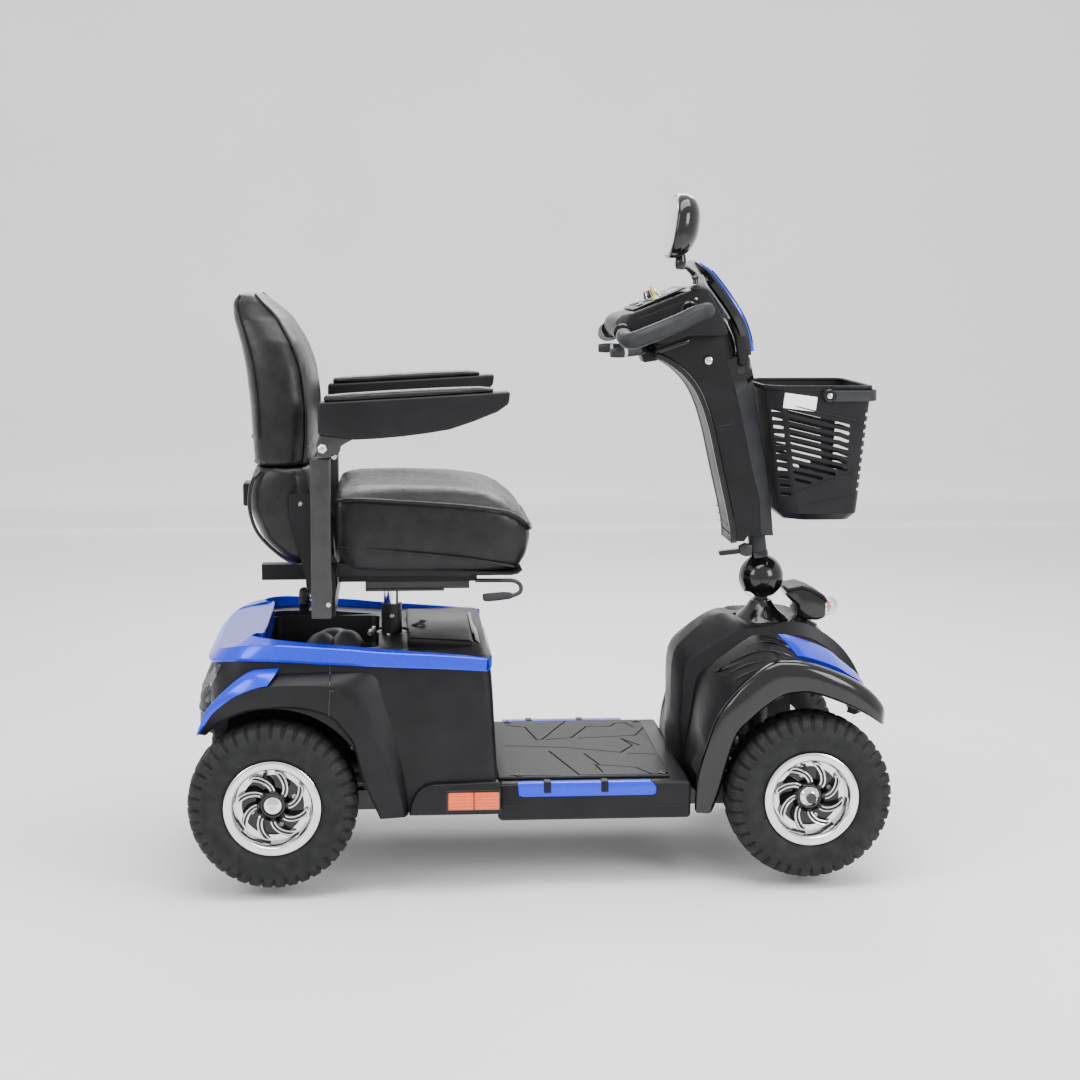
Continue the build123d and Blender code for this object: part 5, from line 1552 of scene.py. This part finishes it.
def console_part():
    """The console with its dash plate, display, gauge, buttons, dial, key and horn."""
    shape = side([
        (262, 1046), (184, 1049), (176, 1058), (174, 1088), (182, 1104), (304, 1152), (326, 1158), (340, 1150),
        (366, 1106), (380, 1068), (376, 1060), (300, 1060),
    ])
    body = slab("console_shell", shape, -0.104, 0.104, "tiller", SATIN, 0.01, 5)
    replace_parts(body, "console")
    end = side([(186, 1050), (164, 1056), (154, 1066), (151, 1080), (156, 1092), (166, 1101), (188, 1108)])
    nose_end = slab("console_end", end, -0.101, 0.101, "tiller", GREY, 0.009, 5)
    for hand, sign in HAND.items():
        panel = side([(196, 1072), (198, 1096), (298, 1134), (324, 1118), (312, 1094), (230, 1066)])
        slab(f"console_panel_{hand}", panel, sign * 0.102, sign * 0.1052, "tiller", SATIN, 0.002, 3)
        for n, (x, z) in enumerate(((311, 1123), (310, 1112), (313, 1134))):
            dome = [(0, 0.003), (0.0012, 0.0028), (0.002, 0.0016), (0.0022, TIP)]
            turned(
                f"console_screw_{hand}_{n}", dome, at(x, sign * 105.0, z), (0, sign, 0), "tiller", BRUSHED, 16,
            )
    normal = Vector((-0.3957, 0, 0.9184)).normalized()
    along = Vector((0.9184, 0, 0.3957)).normalized()
    middle = at(238.5, 0, 1132.5)

    def plate(name, u0, u1, v0, v1, rise, material, corner=0.006, thick=0.003):
        """A rounded plate on the dash: u along the slope, v across."""
        base = middle + normal * (rise - thick)
        ring = []
        for cu, cv, start in (
            (u1 - corner, v1 - corner, 0), (u0 + corner, v1 - corner, 90), (u0 + corner, v0 + corner, 180),
            (u1 - corner, v0 + corner, 270),
        ):
            for k in range(5):
                t = math.radians(start + 22.5 * k)
                ring.append(base + along * (cu + corner * math.cos(t)) + Vector((0, cv + corner * math.sin(t), 0)))
        return loft(name, [ring, [p + normal * thick for p in ring]], "tiller", material, angle=35.0)

    dash = bevelled(plate("dash_plate", -0.052, 0.062, -0.082, 0.082, 0.0008, GREY), 0.0005, 2)
    horn_place, key_place = middle + Vector((0, 0.058, 0)), middle + Vector((0, -0.058, 0))
    cut(dash, bore(horn_place, normal, -0.01, 0.01, 0.0098, 36))
    bevelled(plate("dash_window", 0.022, 0.054, -0.048, 0.048, 0.0018, GLOSS), 0.0005, 2)
    for k in range(5):
        plate(
            f"dash_gauge_{k}", 0.034, 0.042, -0.036 + 0.015 * k, -0.026 + 0.015 * k, 0.0023,
            AMBER if k < 2 else PALE_AND_PAINTED_HIGHLIGHT, 0.001, 0.001,
        )
    for n, (u, v, r) in enumerate((
        (-0.032, 0.03, 0.008), (-0.032, -0.03, 0.008), (-0.034, 0.06, 0.006), (-0.034, -0.058, 0.006),
    )):
        press = [(-0.002, r), (0.0024, r), (0.0032, r * 0.85), (0.0034, TIP)]
        turned(f"dash_button_{n}", press, middle + along * u + Vector((0, v, 0)), normal, "tiller", GLOSS, 28)
    dial_skirt = [(0.0016, 0.0195), (0.003, 0.0195), (0.0038, 0.0185), (0.0038, 0.016), (0.0016, 0.016)]
    turned("dial_ring", dial_skirt, middle, normal, "tiller", CHROME, 40)
    knob_shape = [(0.0042, 0.015), (0.008, 0.0145), (0.017, 0.0118), (0.0185, 0.0108), (0.019, TIP)]
    dial = turned("dial_knob", knob_shape, middle, normal, "speed_dial", GLOSS, 40)
    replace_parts(dial, "speed_dial")
    stripes = []
    for k in range(8):
        t = math.tau * k / 8
        out = along * math.cos(t) + Vector(ACROSS) * math.sin(t)
        ends = [middle + normal * rise + out * r for rise, r in ((0.0052, 0.0149), (0.0168, 0.0121))]
        stripes.append(tube(f"dial_stripe_{k}", ends, 0.0009, "speed_dial", CHROME, 8, 1))
    joined("dial_stripes", stripes)
    barrel = [(0.0, 0.0125), (0.0032, 0.0125), (0.004, 0.0115), (0.004, TIP)]
    turned("key_barrel", barrel, key_place, normal, "tiller", CHROME, 36)
    dress("ignition_key", YELLOW, 0.0008, 2)
    dress("horn_button", YELLOW, 0.0008, 2)
    horn_ring = [(-0.001, 0.0125), (0.0022, 0.0122), (0.0026, 0.011), (0.0026, 0.01), (-0.001, 0.01)]
    turned("horn_ring", horn_ring, horn_place, normal, "tiller", WHITE, 36)


PANEL_LINE = [
    (438, 1022, 62), (434, 1046, 70), (424, 1076, 82), (407, 1108, 91), (384, 1143, 88), (366, 1168, 80),
    (349, 1189, 71), (320, 1210, 58),
]


def panel_rings(section):
    """Rings across the front panel: section(half width) gives (y, offset along the normal)."""
    rows = densified(PANEL_LINE, 4)
    rings = []
    for i, (x, z, w) in enumerate(rows):
        a, b = rows[max(i - 1, 0)], rows[min(i + 1, len(rows) - 1)]
        along = Vector((b[0] - a[0], 0, b[1] - a[1])).normalized()
        normal = Vector((along.z, 0, -along.x))
        taper = min(1.0, 0.35 + 3.0 * (len(rows) - 1 - i) / len(rows))
        rings.append([at(x + normal.x * n * taper, y, z + normal.z * n * taper) for y, n in section(w)])
    return rings


def front_panel_part():
    """The panel on the front of the console: black frame, blue skin, side wings, and a pale grey band behind the
    frame that is painted highlight for light falling on its black inner surface.
    """
    frame_rings = panel_rings(
        lambda w: [(-w, -20), (-w - 1, -9), (-w + 4, -3), (-w * 0.6, -1.5), (w * 0.6, -1.5), (w - 4, -3),
        (w + 1, -9), (w, -20), (w - 8, -24), (-w + 8, -24)],
    )
    body = loft("panel_frame", frame_rings, "tiller", GLOSS, angle=30.0)
    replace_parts(body, "front_panel")
    skin_rings = panel_rings(
        lambda w: [(-w * 0.74, -3), (-w * 0.72, 4.0), (-w * 0.62, 7.0), (-w * 0.3, 8.6), (0, 9.0),
        (w * 0.3, 8.6), (w * 0.62, 7.0), (w * 0.72, 4.0), (w * 0.74, -3)],
    )
    skin = loft("panel_skin", skin_rings[1:-1], "tiller", BLUE, angle=40.0)
    # painted highlight: the pale grey of this band stands in for strong light from above on the frame's black
    # inner surface
    painted_highlight_rings = panel_rings(lambda w: [(-w + 10, -23), (w - 10, -23), (w - 12, -27), (-w + 12, -27)])
    inner = loft("panel_inner", painted_highlight_rings[12:-3], "tiller", PALE_AND_PAINTED_HIGHLIGHT, angle=35.0)
    for hand, sign in HAND.items():
        line = [at(x + 2, sign * (w - 9), z + 1) for x, z, w in PANEL_LINE[1:-1]]
        tube(f"panel_groove_{hand}", line, 0.0012, "tiller", GREY, 8, 5)
        wing = side([
            (408, 1002), (421, 1000), (429, 1030), (424, 1062), (402, 1106), (386, 1116), (380, 1104),
            (398, 1062),
        ])
        slab(f"panel_wing_{hand}", wing, sign * 0.055, sign * 0.078, "tiller", SATIN, 0.004, 3)


def loops():
    """The two handle loops with their grips, bars, rings and bosses."""
    for hand, s in HAND.items():
        grip = [
            (326, 150, 1112), (322, 176, 1112), (300, 197, 1106), (262, 211, 1090), (218, 213, 1072),
            (180, 208, 1057), (166, 190, 1056), (163, 165, 1062),
        ]
        pad = tube(
            f"loop_grip_{hand}", [at(x, s * y, z) for x, y, z in grip], [0.015, 0.0166, 0.0172, 0.0172, 0.0172,
            0.017, 0.0164, 0.015], "tiller", SOFT_GRIP, 28, 8,
        )
        if s < 0:
            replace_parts(pad, "handle_loops")
        upper = tube(
            f"loop_bar_front_{hand}", [at(300, s * 96, 1112), at(316, s * 128, 1112), at(326, s * 154, 1112)],
            0.0125, "tiller", GLOSS, 24, 5,
        )
        lower = tube(
            f"loop_bar_rear_{hand}", [at(166, s * 92, 1068), at(164, s * 130, 1065), at(163, s * 168, 1061)],
            0.0125, "tiller", GLOSS, 24, 5,
        )
        for n, (a, b) in enumerate((
            ((326, 146, 1112), (326, 150, 1112)), ((163, 160, 1062), (163, 164, 1062)),
        )):
            tube(
                f"loop_ring_{hand}_{n}", [at(a[0], s * a[1], a[2]), at(b[0], s * b[1], b[2])], 0.016, "tiller",
                BRUSHED, 28, 1,
            )
        boss = [(0, 0.0185), (0.005, 0.018), (0.008, 0.015), (0.008, TIP)]
        for n, (x, z) in enumerate(((300, 1112), (166, 1068))):
            turned(f"loop_boss_{hand}_{n}", boss, at(x, s * 103.0, z), (0, s, 0), "tiller", GLOSS, 32)


def throttle():
    """The throttle's hub under the console, and a finger lever on each side."""
    disc = [(-0.011, 0.0215), (-0.01, 0.0222), (0.01, 0.0222), (0.011, 0.0215), (0.011, TIP)]
    hub = turned("throttle_hub", disc, at(238, 0, 1033), UP, "throttle", SATIN, 40)
    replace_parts(hub, "throttle_lever")
    for hand, s in HAND.items():
        arm = [at(228, s * 8, 1033), at(216, s * 40, 1033), at(212, s * 84, 1032), at(204, s * 100, 1030)]
        bar = tube(f"throttle_arm_{hand}", arm, [0.009, 0.0075, 0.007, 0.0065], "throttle", SATIN, 20)
        grip = [
            at(204, s * 100, 1030), at(182, s * 107, 1029), at(160, s * 112, 1028), at(142, s * 114, 1027.5),
        ]
        tube(f"throttle_grip_{hand}", grip, [0.0078, 0.0088, 0.01, 0.0085], "throttle", SOFT_GRIP, 24, 6)
        tube(
            f"throttle_ring_{hand}", [at(174, s * 109, 1028.6), at(168, s * 110.4, 1028.4)], 0.0103, "throttle",
            PALE_AND_PAINTED_HIGHLIGHT, 24, 1,
        )


def mirror_ring(x, half_width, half_height):
    """A ring of the mirror's leaning outline, at a distance ahead of its glass."""
    ring = oval(at(244, -222, 1274) + Vector((x, 0, 0)), ACROSS, UP, half_width, half_height, 2.5, 56)
    return [p + Vector(((p.z - 1.274) * 0.14, 0, 0)) for p in ring]


def mirror():
    """The mirror with its glass, neck, stalk and nut."""
    levels = [  # ahead of the glass, half width, half height
        (-0.0005, 0.0705, 0.056), (0.0, 0.0735, 0.059), (0.004, 0.0762, 0.0612), (0.016, 0.0765, 0.0615),
        (0.03, 0.07, 0.057), (0.041, 0.056, 0.0455), (0.049, 0.035, 0.029), (0.0525, 0.015, 0.012),
        (0.053, 0.0004, 0.0004),
    ]
    body = loft("mirror_shell", [mirror_ring(*level) for level in levels], "mirror", GLOSS, angle=60.0)
    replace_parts(body, "mirror_housing")
    shares = ((0.0004, 0.93), (-0.001, 0.93), (-0.0014, 0.91))
    rings = [mirror_ring(x, 0.0735 * k, 0.059 * k) for x, k in shares]
    glass = loft("mirror_face", rings, "mirror", MIRROR, angle=30.0)
    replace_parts(glass, "mirror_glass")
    neck = [(-0.004, 0.0075), (0.002, 0.0098), (0.012, 0.011), (0.022, 0.0085), (0.03, 0.006), (0.03, TIP)]
    turned("mirror_neck", neck, at(262, -222, 1196), (0.12, 0, 1), "mirror", GLOSS, 28)
    rod = [
        at(312, -98, 1163), at(312, -98, 1176), at(304, -118, 1184), at(284, -170, 1196), at(266, -214, 1200),
        at(262, -222, 1206), at(262, -222, 1218),
    ]
    stalk = tube("stalk_rod", rod, 0.0055, "tiller", GLOSS, 18, 8)
    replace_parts(stalk, "mirror_stalk")
    ferrule = [(-0.01, 0.007), (0.01, 0.007), (0.012, 0.0062), (0.012, TIP)]
    turned("stalk_ferrule", ferrule, at(309, -105, 1179), (-0.25, -0.93, 0.26), "tiller", CHROME, 24)
    nut = [(0, 0.0095), (0.008, 0.0095), (0.0095, 0.008), (0.0095, TIP)]
    turned("stalk_nut", nut, at(312, -98, 1152), UP, "tiller", GLOSS, 6, 20)


def arc(radius, angles, least=0.0):
    """(along, radius) profile points of a ball."""
    turns = [math.radians(a) for a in angles]
    return [(radius * math.sin(t), max(least, radius * math.cos(t))) for t in turns]


def ball():
    """The ball joint's hollow shell, open to the column above and to the stem below."""
    body, centre = "tiller", at(475, 0, 558)
    profile = [(-0.0459, 0.0006)] + arc(0.046, range(-84, 85, 6)) + [(0.0459, 0.0006)]
    shell = turned("ball_shell", profile, centre, ACROSS, body, GLOSS, 64, 60)
    hole = bore(centre, LEAN, 0, 0.08, 0.0178, 40)
    cavity = turned("cutter", arc(0.041, range(-90, 91, 9), 0.0002), centre, ACROSS, body, GLOSS, 48)
    wedge = slab("cutter", side([(475, 560), (411, 496), (539, 496)]), -0.0105, 0.0105, body, GLOSS)
    cut(shell, hole, cavity, wedge, void(at(441, -24, 506), at(509, 24, 529)), angle=60.0)
    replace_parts(shell, "ball_shells")
    turns = [math.tau * k / 48 for k in range(48)]
    seam = [centre + Vector((0.0461 * math.cos(t), 0, 0.0461 * math.sin(t))) for t in turns]
    tube("ball_seam", seam, 0.0007, body, SATIN, 6, 1, closed=True)
    for hand, s in HAND.items():
        plug = [(-0.004, 0.0102), (0.0004, 0.0102), (0.0008, 0.0092), (-0.0012, 0.0084), (-0.0012, TIP)]
        turned(f"ball_plug_{hand}", plug, at(475, s * 44.9, 558), (0, s, 0), body, SATIN, 32)


def boot():
    """The rubber cone round the steering stem, and its collar on the shroud."""
    profile = [
        (0, 0.0565), (0.0015, 0.057), (0.006, 0.0535), (0.014, 0.045), (0.022, 0.0365), (0.03, 0.0295),
        (0.037, 0.0245), (0.042, 0.0222), (0.042, 0.0175), (0, 0.0175),
    ]
    cone = turned("boot_cone", profile, at(475, 0, 468), UP, "steering", GLOSS, 64, 50)
    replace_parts(cone, "stem_boot")
    ring = [(0, 0.06), (0.001, 0.0665), (0.004, 0.067), (0.0055, 0.065), (0.004, 0.0595), (0, 0.059)]
    turned("boot_collar", ring, at(475, 0, 464), UP, "chassis", SATIN, 64, 50)


# ---- basket -------------------------------------------------------------------------
def basket_size(z):
    """The basket's rear x, front x and half width at a height, in millimetres."""
    t = (z - 690) / 272
    return 493 - 41 * t, 668 - 20 * (1 - t), 112 + 26 * t


def basket_ring(z, inset=0.0):
    """Plan of the basket at a height in millimetres: chamfered rear corners, rounded front ones."""
    x0, x1, h = basket_size(z)
    x0, x1, h = x0 + inset, x1 - inset, h - inset
    turns = [math.radians(15 * k) for k in range(7)]
    front = [(x1 - 24 + 24 * math.sin(a), -(h - 24) - 24 * math.cos(a)) for a in turns]
    near = [(x0, -(h - 34)), (x0 + 3, -(h - 30)), (x0 + 33, -(h - 3)), (x0 + 38, -h)] + front
    return [at(x, y, z) for x, y in near] + [at(x, -y, z) for x, y in reversed(near)]


def basket():
    """The slotted basket with its rim, folds, blank side plates and bosses."""
    outer = loft(
        "basket_shell", [basket_ring(690, 12), basket_ring(704, 0.5), basket_ring(730), basket_ring(962)],
        "basket", SATIN, angle=30.0,
    )
    inner = loft(
        "cutter", [basket_ring(694, 14), basket_ring(706, 4), basket_ring(730, 3), basket_ring(980, 3)],
        "basket", SATIN,
    )
    cut(outer, inner, angle=30.0)
    openings = []
    # slots of the sides, each ending above the crease that runs up to the front
    for k in range(11):
        x0, z0 = 497 + 2.3 * k, 912 - 15.3 * k
        x1 = 622.0
        if z0 - 0.24 * (x1 - x0) < 752 + 0.36 * (x1 - 525) + 6:
            x1 = x0 + (z0 - 752 - 0.36 * (x0 - 525) - 6) / (0.24 + 0.36)
        if x1 - x0 > 16:
            z1 = z0 - 0.24 * (x1 - x0)
            ends = [(x0, z0 - 3.6), (x1, z1 - 3.6), (x1 + 2, z1), (x1, z1 + 3.6), (x0, z0 + 3.6), (x0 - 2, z0)]
            openings.append(slab("cutter", side(ends), -0.2, 0.2, "basket", SATIN))
    for k in range(11):  # chamfered rear corners
        z = 914 - 17.1 * k
        x0, _, h = basket_size(z)
        for s in (-1, 1):
            openings.append(void(at(x0 + 9, s * (h - 31), z - 3.4), at(x0 + 27, s * (h + 12), z + 3.4)))
    for k in range(10):  # front wall
        z = 905 - 17 * k
        h = basket_size(z)[2]
        for s in (-1, 1):
            openings.append(void(at(636, s * 10, z - 3.6), at(700, s * (h - 6), z + 3.6)))
    for k in range(5):  # bottom
        for s in (-1, 1):
            openings.append(void(at(520 + 22 * k, s * 10, 680), at(528 + 22 * k, s * 80, 700)))
    cut(outer, joined("cutter", openings), angle=30.0)
    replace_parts(outer, "basket")
    section = (  # z, inset
        (954, 1.0), (953, -1.2), (956, -2.0), (961, -2.2), (964, -1.0), (964, 3.6), (960, 4.2), (956, 2.6),
    )
    stations = list(zip(*(basket_ring(z, inset) for z, inset in section)))
    count, size = len(stations), len(section)
    faces = []
    for i in range(count):
        for k in range(size):
            here, there, up = i * size, (i + 1) % count * size, (k + 1) % size
            faces.append((here + k, here + up, there + up, there + k))
    rim_band = piece("basket_rim", [p for ring in stations for p in ring], faces, "basket", SATIN)
    bevelled(rim_band, 0.0008, 2, 40.0)
    for hand, s in HAND.items():

        def wall(x, z, lift):
            """A point this far outside the side wall."""
            return at(x, s * (112 + 26 * (z - 690) / 272 + lift), z)

        folds = (  # x, z, lift
            ("crease", [(512, 745, 0.2), (556, 762, 0.4), (600, 777, 0.4), (634, 790, 0.2)],
            [0.0006, 0.0016, 0.0016, 0.0006]), ("ridge", [(498, 928, 0), (520, 921, 0.4), (622, 897, 0.4),
            (640, 888, 0)], [0.0006, 0.0018, 0.0018, 0.0006]), ("fold",
            [(536, 722, 0.1), (600, 735, 0.1), (640, 742, 0.1)], [0.0005, 0.0012, 0.0005]),
        )
        for kind, line, radii in folds:
            tube(f"basket_{kind}_{hand}", [wall(*p) for p in line], radii, "basket", SATIN, 8, 5)
        corners = [(486, 920), (552, 912), (555, 941), (489, 950)]
        rings = [[wall(x, z, lift) for x, z in corners] for lift in (0.4, 1.8)]
        label = loft(f"basket_plate_{hand}", rings, "basket", WHITE)
        bevelled(label, 0.0011, 3, 60.0)
        boss = [(0, 0.0135), (0.003, 0.0135), (0.0045, 0.012), (0.0045, TIP)]
        turned(f"basket_boss_{hand}", boss, at(577, s * 137.5, 944), (0, s, 0), "basket", SATIN, 36)


def bail():
    """The basket's flat lifting bail, with its eyes and rivets."""
    points = [
        (577, -146.5), (616, -146.3), (648, -145.8), (664, -141), (673, -130), (676.5, -112), (677, 0),
        (676.5, 112), (673, 130), (664, 141), (648, 145.8), (616, 146.3), (577, 146.5),
    ]
    chain = smooth_chain(points, 5)
    rings = []
    for i, (x, y) in enumerate(chain):
        a, b = chain[max(i - 1, 0)], chain[min(i + 1, len(chain) - 1)]
        along = Vector((b[0] - a[0], b[1] - a[1], 0)).normalized()
        out = Vector((along.y, -along.x, 0)) * 1.7
        ring = []
        for o, z in ((-1, 934), (-1, 954), (0.3, 955), (1, 953), (0.6, 950), (0.6, 938), (1, 935), (0.3, 933)):
            ring.append(at(x + out.x * o, y + out.y * o, z))
        rings.append(ring)
    band_part = loft("bail_band", rings, "basket_bail", GREY, angle=30.0)
    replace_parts(band_part, "basket_handle")
    for hand, s in HAND.items():
        eye = [(0, 0.0132), (0.004, 0.0132), (0.0055, 0.012), (0.006, 0.0078), (0.0042, 0.007), (0.0042, TIP)]
        turned(f"bail_eye_{hand}", eye, at(577, s * 144.6, 944), (0, s, 0), "basket_bail", GLOSS, 40)
        rivet = [(0.004, 0.0058), (0.0056, 0.0052), (0.0064, 0.0034), (0.0064, TIP)]
        turned(f"bail_rivet_{hand}", rivet, at(577, s * 144.6, 944), (0, s, 0), "basket_bail", CHROME, 24)


cover()
column()
console_part()
front_panel_part()
loops()
throttle()
mirror()
ball()
boot()
basket()
bail()

# CAD nodes that keep their shape; any other node that nothing replaces is plain satin
PLAIN = {
    "main_rails": STEEL, "front_axle_frame": STEEL, "seat_post_tube": STEEL, "transaxle": CAST,
    "drive_motor": STEEL, "batteries": GREY, "freewheel_lever": RED, "left_knuckle": STEEL,
    "right_knuckle": STEEL, "tie_rod": ZINC, "steering_stem": STEEL, "tiller_column": BRUSHED,
    "seat_post": CHROME, "seat_base": STEEL, "floor_pan": SATIN,
}
for node, material in PLAIN.items():
    dress(node, material, 0.0)
hidden = {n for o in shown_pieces() if "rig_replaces" in o for n in o["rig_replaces"]}
for node in frame["nodes"]:
    if node not in PLAIN and node not in hidden and node not in ("tilt_lever", "ignition_key", "horn_button"):
        dress(node, SATIN, 0.0)


# ---- stage --------------------------------------------------------------------------
def floor():
    """A pale floor that curves up into a backdrop behind the object."""
    profile = [  # y, z
        (-9.0, 0.0), (3.0, 0.0), (4.4, 0.25), (5.2, 1.2), (5.5, 3.0), (5.5, 9.0),
    ]
    chain = smooth_chain(profile, 5)
    verts = [(x, y, z) for x in (-14.0, 14.0) for y, z in chain]
    count = len(chain)
    faces = [(i, i + 1, i + 1 + count, i + count) for i in range(count - 1)]
    mesh = bpy.data.meshes.new("floor")
    mesh.from_pydata([tuple(float(c) for c in v) for v in verts], [], faces)
    mesh.shade_smooth()
    obj = bpy.data.objects.new("floor", mesh)
    bpy.context.scene.collection.objects.link(obj)
    look = Look("floor_paint", (0.92, 0.92, 0.92), 0.8)
    look.vary_color(look.noise(1.5, 3.0), (0.94, 0.94, 0.94))
    mesh.materials.append(look.material)


def lamp(name, place, target, size, power):
    """A rectangular soft box that faces a point."""
    data = bpy.data.lights.new(name, "AREA")
    data.shape = "RECTANGLE"
    data.size, data.size_y = size
    data.energy = power
    obj = bpy.data.objects.new(name, data)
    obj.location = place
    obj.rotation_euler = (Vector(target) - Vector(place)).to_track_quat("-Z", "Y").to_euler()
    bpy.context.scene.collection.objects.link(obj)


def studio():
    """Soft white room with an overhead bank and two side boxes."""
    world = bpy.data.worlds.new("studio")
    world.use_nodes = True
    background = world.node_tree.nodes["Background"]
    background.inputs["Color"].default_value = (1.0, 1.0, 1.0, 1.0)
    background.inputs["Strength"].default_value = 1.1
    bpy.context.scene.world = world
    middle = (0.0, 0.0, 0.5)
    lamp("bank", (0.3, -0.6, 3.4), middle, (3.2, 1.6), 120)
    lamp("front_box", (2.6, -2.6, 2.0), middle, (1.2, 1.6), 75)
    lamp("rear_box", (-2.6, -1.8, 2.2), middle, (1.2, 1.6), 45)
    lamp("back_light", (0.4, 3.0, 2.6), middle, (2.6, 1.0), 60)


def camera():
    """The camera at the reference viewing angle."""
    yaw, pitch, roll = (math.radians(a) for a in (4.4227, 8.1662, 0.2136))
    forward = Vector((math.sin(yaw) * math.cos(pitch), math.cos(yaw) * math.cos(pitch), -math.sin(pitch)))
    right = forward.cross(Vector(UP)).normalized()
    up = right.cross(forward)
    tilted_right = right * math.cos(roll) + up * math.sin(roll)
    tilted_up = up * math.cos(roll) - right * math.sin(roll)
    data = bpy.data.cameras.new("camera")
    data.sensor_width = 36.0
    data.lens = 63.72
    obj = bpy.data.objects.new("camera", data)
    turn = Matrix((tilted_right, tilted_up, -forward)).transposed()
    obj.matrix_world = Matrix.Translation((0.2362 + REAR_AXLE, -3.8914, 1.1982)) @ turn.to_4x4()
    bpy.context.scene.collection.objects.link(obj)
    bpy.context.scene.camera = obj


floor()
studio()
camera()
